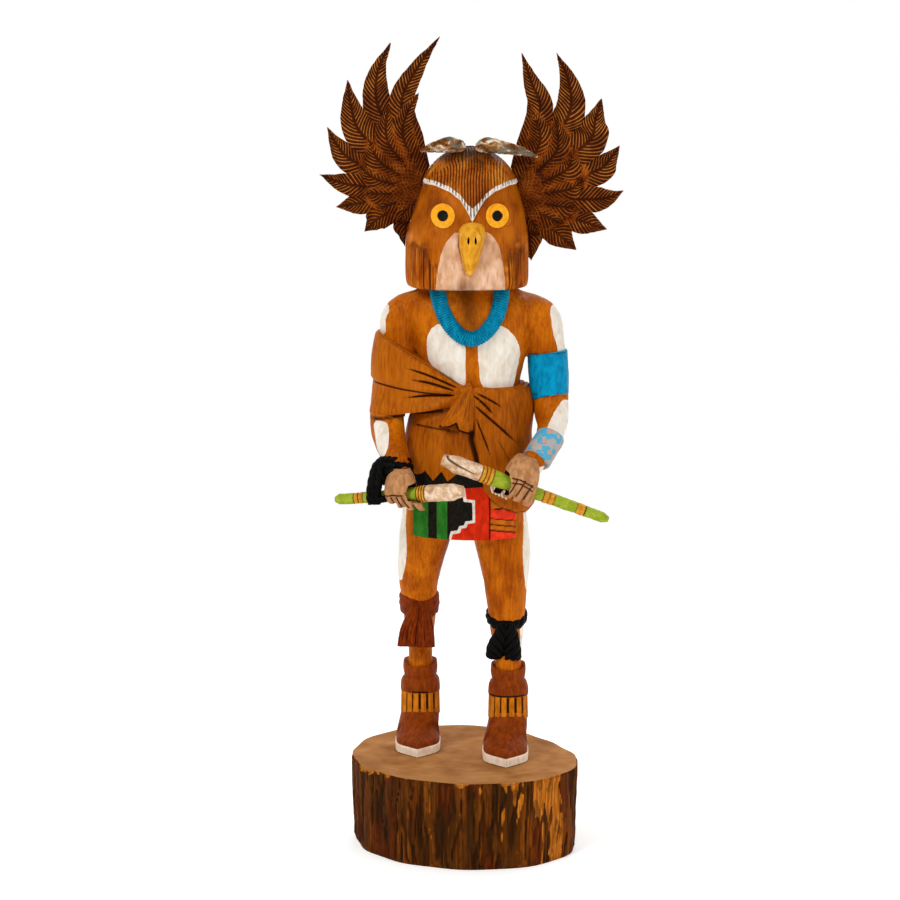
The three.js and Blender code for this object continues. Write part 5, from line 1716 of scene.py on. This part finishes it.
def cuff_material():
    """Pale blue paint with pinkish wood showing in squarish patches."""
    shader = Shader("cuff_paint", 0.55)
    cells = shader.node("ShaderNodeTexVoronoi", distance="CHEBYCHEV")
    cells.inputs["Scale"].default_value = 400
    cells.inputs["Randomness"].default_value = 0.45
    shader.feed(cells.inputs["Vector"], shader.spot)
    split = shader.node("ShaderNodeSeparateColor")
    shader.feed(split.inputs[0], cells.outputs["Color"])
    colour = shader.mix(shader.step(split.outputs[0], 0.42, 0.5), "#3fa2c6", "#b5a197")
    colour = shader.mix(shader.step(split.outputs[1], 0.8, 0.85), colour, "#c98f72")
    colour = shader.tint(colour, shader.noise(1.5, 3), 0.35, "#86b4c0")
    return shader.done(colour)


def paint_figure(piece):
    """Every painted border on the finished carving, as signed distances in millimetres."""
    points = places(piece)
    x, y, z = points.T
    flat = points[:, [0, 2]]
    front = np.minimum(BODY_Y + 2 - y, 9)
    chest, sides = (np.max([inside(flat, curve(patch, loop=True)) for patch in patches], axis=0)
                    for patches in (CHEST_PATCHES, SIDE_PATCHES))
    paint_line(piece, "white", np.maximum(np.minimum(chest, front), sides))
    low, high = brow_height(x, y), brow_top(x, y)
    slope = np.interp(np.abs(x - BROW_MIDDLE), BROW_PLACES[:5], [0.5, 0.5, 0.7, 0.86, 0.97])
    on_mask = z > MASK_BOTTOM - 1
    paint_line(piece, "crown", np.where(on_mask, (z - high) * slope, OUTSIDE))
    paint_line(piece, "brow", np.where(on_mask, np.minimum(z - low, high - z) * slope, OUTSIDE))
    paint_line(piece, "cheek", np.where(on_mask, cheek_depth(x, y, z), OUTSIDE))
    paint_line(piece, "muzzle", np.where(on_mask, muzzle_depth(x, y, z), OUTSIDE))
    paint_line(piece, "height", z)
    eyes, pupils = [], []
    for side in (-1, 1):
        lean = side * EYE_LEAN + MASK_TURN
        middle = eye_middle(side)
        across = (x - middle[0]) / math.cos(lean)
        far = np.hypot(across, z - middle[1])
        face = np.where(y < BODY_Y - 10, -OUTSIDE, OUTSIDE)
        eyes.append(np.minimum(EYE_RADIUS - far, face))
        pupils.append(np.minimum(PUPIL_RADIUS - far, face))
    paint_line(piece, "eye", np.max(eyes, axis=0))
    paint_line(piece, "pupil", np.max(pupils, axis=0))
    sash_paint(piece)
    # Painted shade and stain in the corners go into the groove attribute.
    add_corner_shade_and_stain(piece, flat, y)


# Painted shade, with some stain, in the corners and under edges: a line in front view, half width, strength.
SHADE_AND_STAIN_LINES = [
    ([(-42.8, 253.6), (-34.5, 249), (-22.5, 241.6), (-8, 233), (-3.6, 230)], 0.4, 0.5),
    ([(-47, 230.2), (-32, 227.6), (-20, 226), (-7.5, 225)], 0.5, 0.85),
    ([(-47, 212.2), (-32, 214.2), (-20, 215.8), (-12, 216.9)], 1.0, 0.8),
    ([(-12.8, 209.4), (-8.2, 209.6), (-4.9, 211.4), (-3.8, 208), (0.2, 206.6), (3.2, 206.2)], 0.7, 0.95),
    ([(-24, 209.4), (-14, 208.2), (-8, 207.6)], 0.6, 0.7),
    ([(-1, 276), (2, 262)], 7.5, 0.5),
    ([(-32.5, 72.2), (-13.5, 72.2)], 0.5, 0.8), ([(11, 74.4), (31, 74.4)], 0.5, 0.8),
    ([(2.6, 207), (2.4, 203), (4.4, 195.5), (5.8, 189)], 1.5, 0.95),
    ([(30.2, 243.2), (49.4, 244.4)], 0.3, 0.6), ([(32.4, 223.6), (49.6, 222.6)], 0.3, 0.6),
    ([(12.6, 172.8), (15.5, 170.2), (24.4, 166.2), (33, 167.8)], 0.4, 0.6),
    ([(-3.6, 304), (-3.8, 299), (-2.0, 292), (-0.2, 286)], 0.7, 0.7),
]


def add_corner_shade_and_stain(piece, flat, y):
    """Adds the painted shade and stain in the corners to the depth share of the cuts."""
    share = np.empty(len(flat), np.float32)
    groove = piece.data.attributes["groove"]
    groove.data.foreach_get("value", share)
    in_front = y < BODY_Y
    for line, wide, strength in SHADE_AND_STAIN_LINES:
        away, _ = line_distance(flat, line)
        share = np.maximum(share, strength * np.exp(-(away / wide) ** 2) * in_front)
    groove.data.foreach_set("value", share.astype(np.float32))


FIGURE_TRIANGLES = 194000


def finely_painted(piece):
    """The vertices that carry thin painted lines or cuts, and so keep their spacing."""
    points = places(piece)
    x, y, z = points.T
    flat = points[:, [0, 2]]
    eyes = [np.hypot(*(flat - eye_middle(side)).T) < EYE_RADIUS + 1 for side in (-1, 1)]
    sash = (z > 143) & (z < 192) & (np.abs(x) < 26)
    dark_marks = [line_distance(flat, line)[0] < 1.8 * wide for line, wide, _ in SHADE_AND_STAIN_LINES if wide < 2]
    share = np.empty(len(points), np.float32)
    piece.data.attributes["groove"].data.foreach_get("value", share)
    cuts = (share > 0.08) & (z < MASK_BOTTOM - 1)
    fringes = (z > 58) & (z < 77)
    return (y < BODY_Y) & (eyes[0] | eyes[1] | sash | np.any(dark_marks, axis=0) | cuts) | fringes


def figure():
    """Everything that is carved in one with the body, then thinned and painted."""
    named = ornament_materials()
    wood, cloth, owl = carved_material(), robe_material(), mask_material()
    piece = skin(wood)
    for part in (
        robe(cloth), knot(cloth), sash(sash_material()), necklace(named["necklace"]),
        armband(named["armband"]), cuff(cuff_material()), wrist_yarn(named["yarn"]), hands(named["hand"]),
        knee_sash(named["sash_cloth"]), knee_yarn(named["yarn"]),
        boot(-22.9, 17.6, 28, 9.8, -1.2, 61.4), boot(20.9, -2, 29, 9.9, -1.4, 63.6), sash_ends(), mask(owl),
    ):
        combine(piece, part)
    for side in WANDS:
        room = rings(wand_rows(side, 0.3), turns(48), 60, side=(0, 0, 1), path=straight)
        combine(piece, make("wand_room", closed(room)), "DIFFERENCE")
    piece.name = "figure_carved"
    thinned(piece, FIGURE_TRIANGLES, ~finely_painted(piece))
    paint_figure(piece)
    finish(piece, CREASE, "figure")


# ---- floor, light and camera ----------------------------------------------------------
CAMERA_PLACE = (-8, -1700, 456)
CAMERA_AIM = (-8, 0, 196)
CAMERA_LENS = 139.6
LAMP_AIM = (0, 0, 190)
LAMPS = [  # name, place, size and watts
    ("key", (-750, -1050, 1250), (600, 600), 14.5), ("fill", (1000, -900, 500), (900, 900), 5),
    ("back", (300, 900, 1100), (900, 500), 6),
]
# The room's brightness, from 0.38 in front of the doll to 1 behind it.
ROOM_LIGHT = {"From Min": -0.3, "From Max": 0.5, "To Min": 0.38, "To Max": 1.0}
FLOOR_RADIUS = 700
FLOOR_SIDES = 96


def aimed(thing, place, aim):
    """Puts a light or camera at `place`, looking at `aim`."""
    thing.location = Vector(place) * MM
    thing.rotation_euler = (Vector(aim) - Vector(place)).to_track_quat("-Z", "Y").to_euler()


def camera():
    """The photo's view: a long lens a little above the doll."""
    data = bpy.data.cameras.new("camera")
    data.lens = CAMERA_LENS
    data.sensor_width = 36
    made = bpy.data.objects.new("camera", data)
    bpy.context.scene.collection.objects.link(made)
    aimed(made, CAMERA_PLACE, CAMERA_AIM)
    bpy.context.scene.camera = made


def lamp(name, place, size, power):
    """A soft rectangular light aimed at the doll's middle."""
    data = bpy.data.lights.new(name, "AREA")
    data.shape = "RECTANGLE"
    data.size, data.size_y = size[0] * MM, size[1] * MM
    data.energy = power
    made = bpy.data.objects.new(name, data)
    bpy.context.scene.collection.objects.link(made)
    aimed(made, place, LAMP_AIM)


def studio():
    """A round white floor, a soft key from the upper left, and a room that is white behind the doll."""
    around = np.linspace(0, 2 * math.pi, FLOOR_SIDES, endpoint=False)
    rim = FLOOR_RADIUS * np.column_stack([np.cos(around), np.sin(around), np.zeros(FLOOR_SIDES)])
    shader = Shader("floor", 0.9)
    shader.surface.inputs["Base Color"].default_value = linear("#f4f3f1")
    shader.surface.inputs["Specular IOR Level"].default_value = 0.0
    shader.surface.inputs["Emission Color"].default_value = (1, 1, 1, 1)
    shader.surface.inputs["Emission Strength"].default_value = 0.3
    floor = make("floor", (rim, [list(range(FLOOR_SIDES))]), shader.material)
    for name, place, size, power in LAMPS:
        lamp(name, place, size, power)
    world = bpy.data.worlds.new("room")
    world.use_nodes = True
    nodes, links = world.node_tree.nodes, world.node_tree.links
    spot = nodes.new("ShaderNodeTexCoord")
    split = nodes.new("ShaderNodeSeparateXYZ")
    level = nodes.new("ShaderNodeMapRange")
    for name, value in ROOM_LIGHT.items():
        level.inputs[name].default_value = value
    links.new(spot.outputs["Generated"], split.inputs[0])
    links.new(split.outputs["Y"], level.inputs["Value"])
    links.new(level.outputs["Result"], nodes["Background"].inputs["Strength"])
    nodes["Background"].inputs["Color"].default_value = (1, 1, 1, 1)
    bpy.context.scene.world = world
    bpy.context.scene.view_settings.view_transform = "Standard"


# ---- the doll -------------------------------------------------------------------------
camera()
studio()
log_slice()
figure()
beak()
feather_fan("right", RIGHT_FAN)
feather_fan("left", LEFT_FAN)
crown_feather("right", (-0.5, 345), (-9, 346), (-22.4, 343))
crown_feather("left", (4.4, 345), (12, 345.6), (34.6, 340.2))
wand("right")
wand("left")
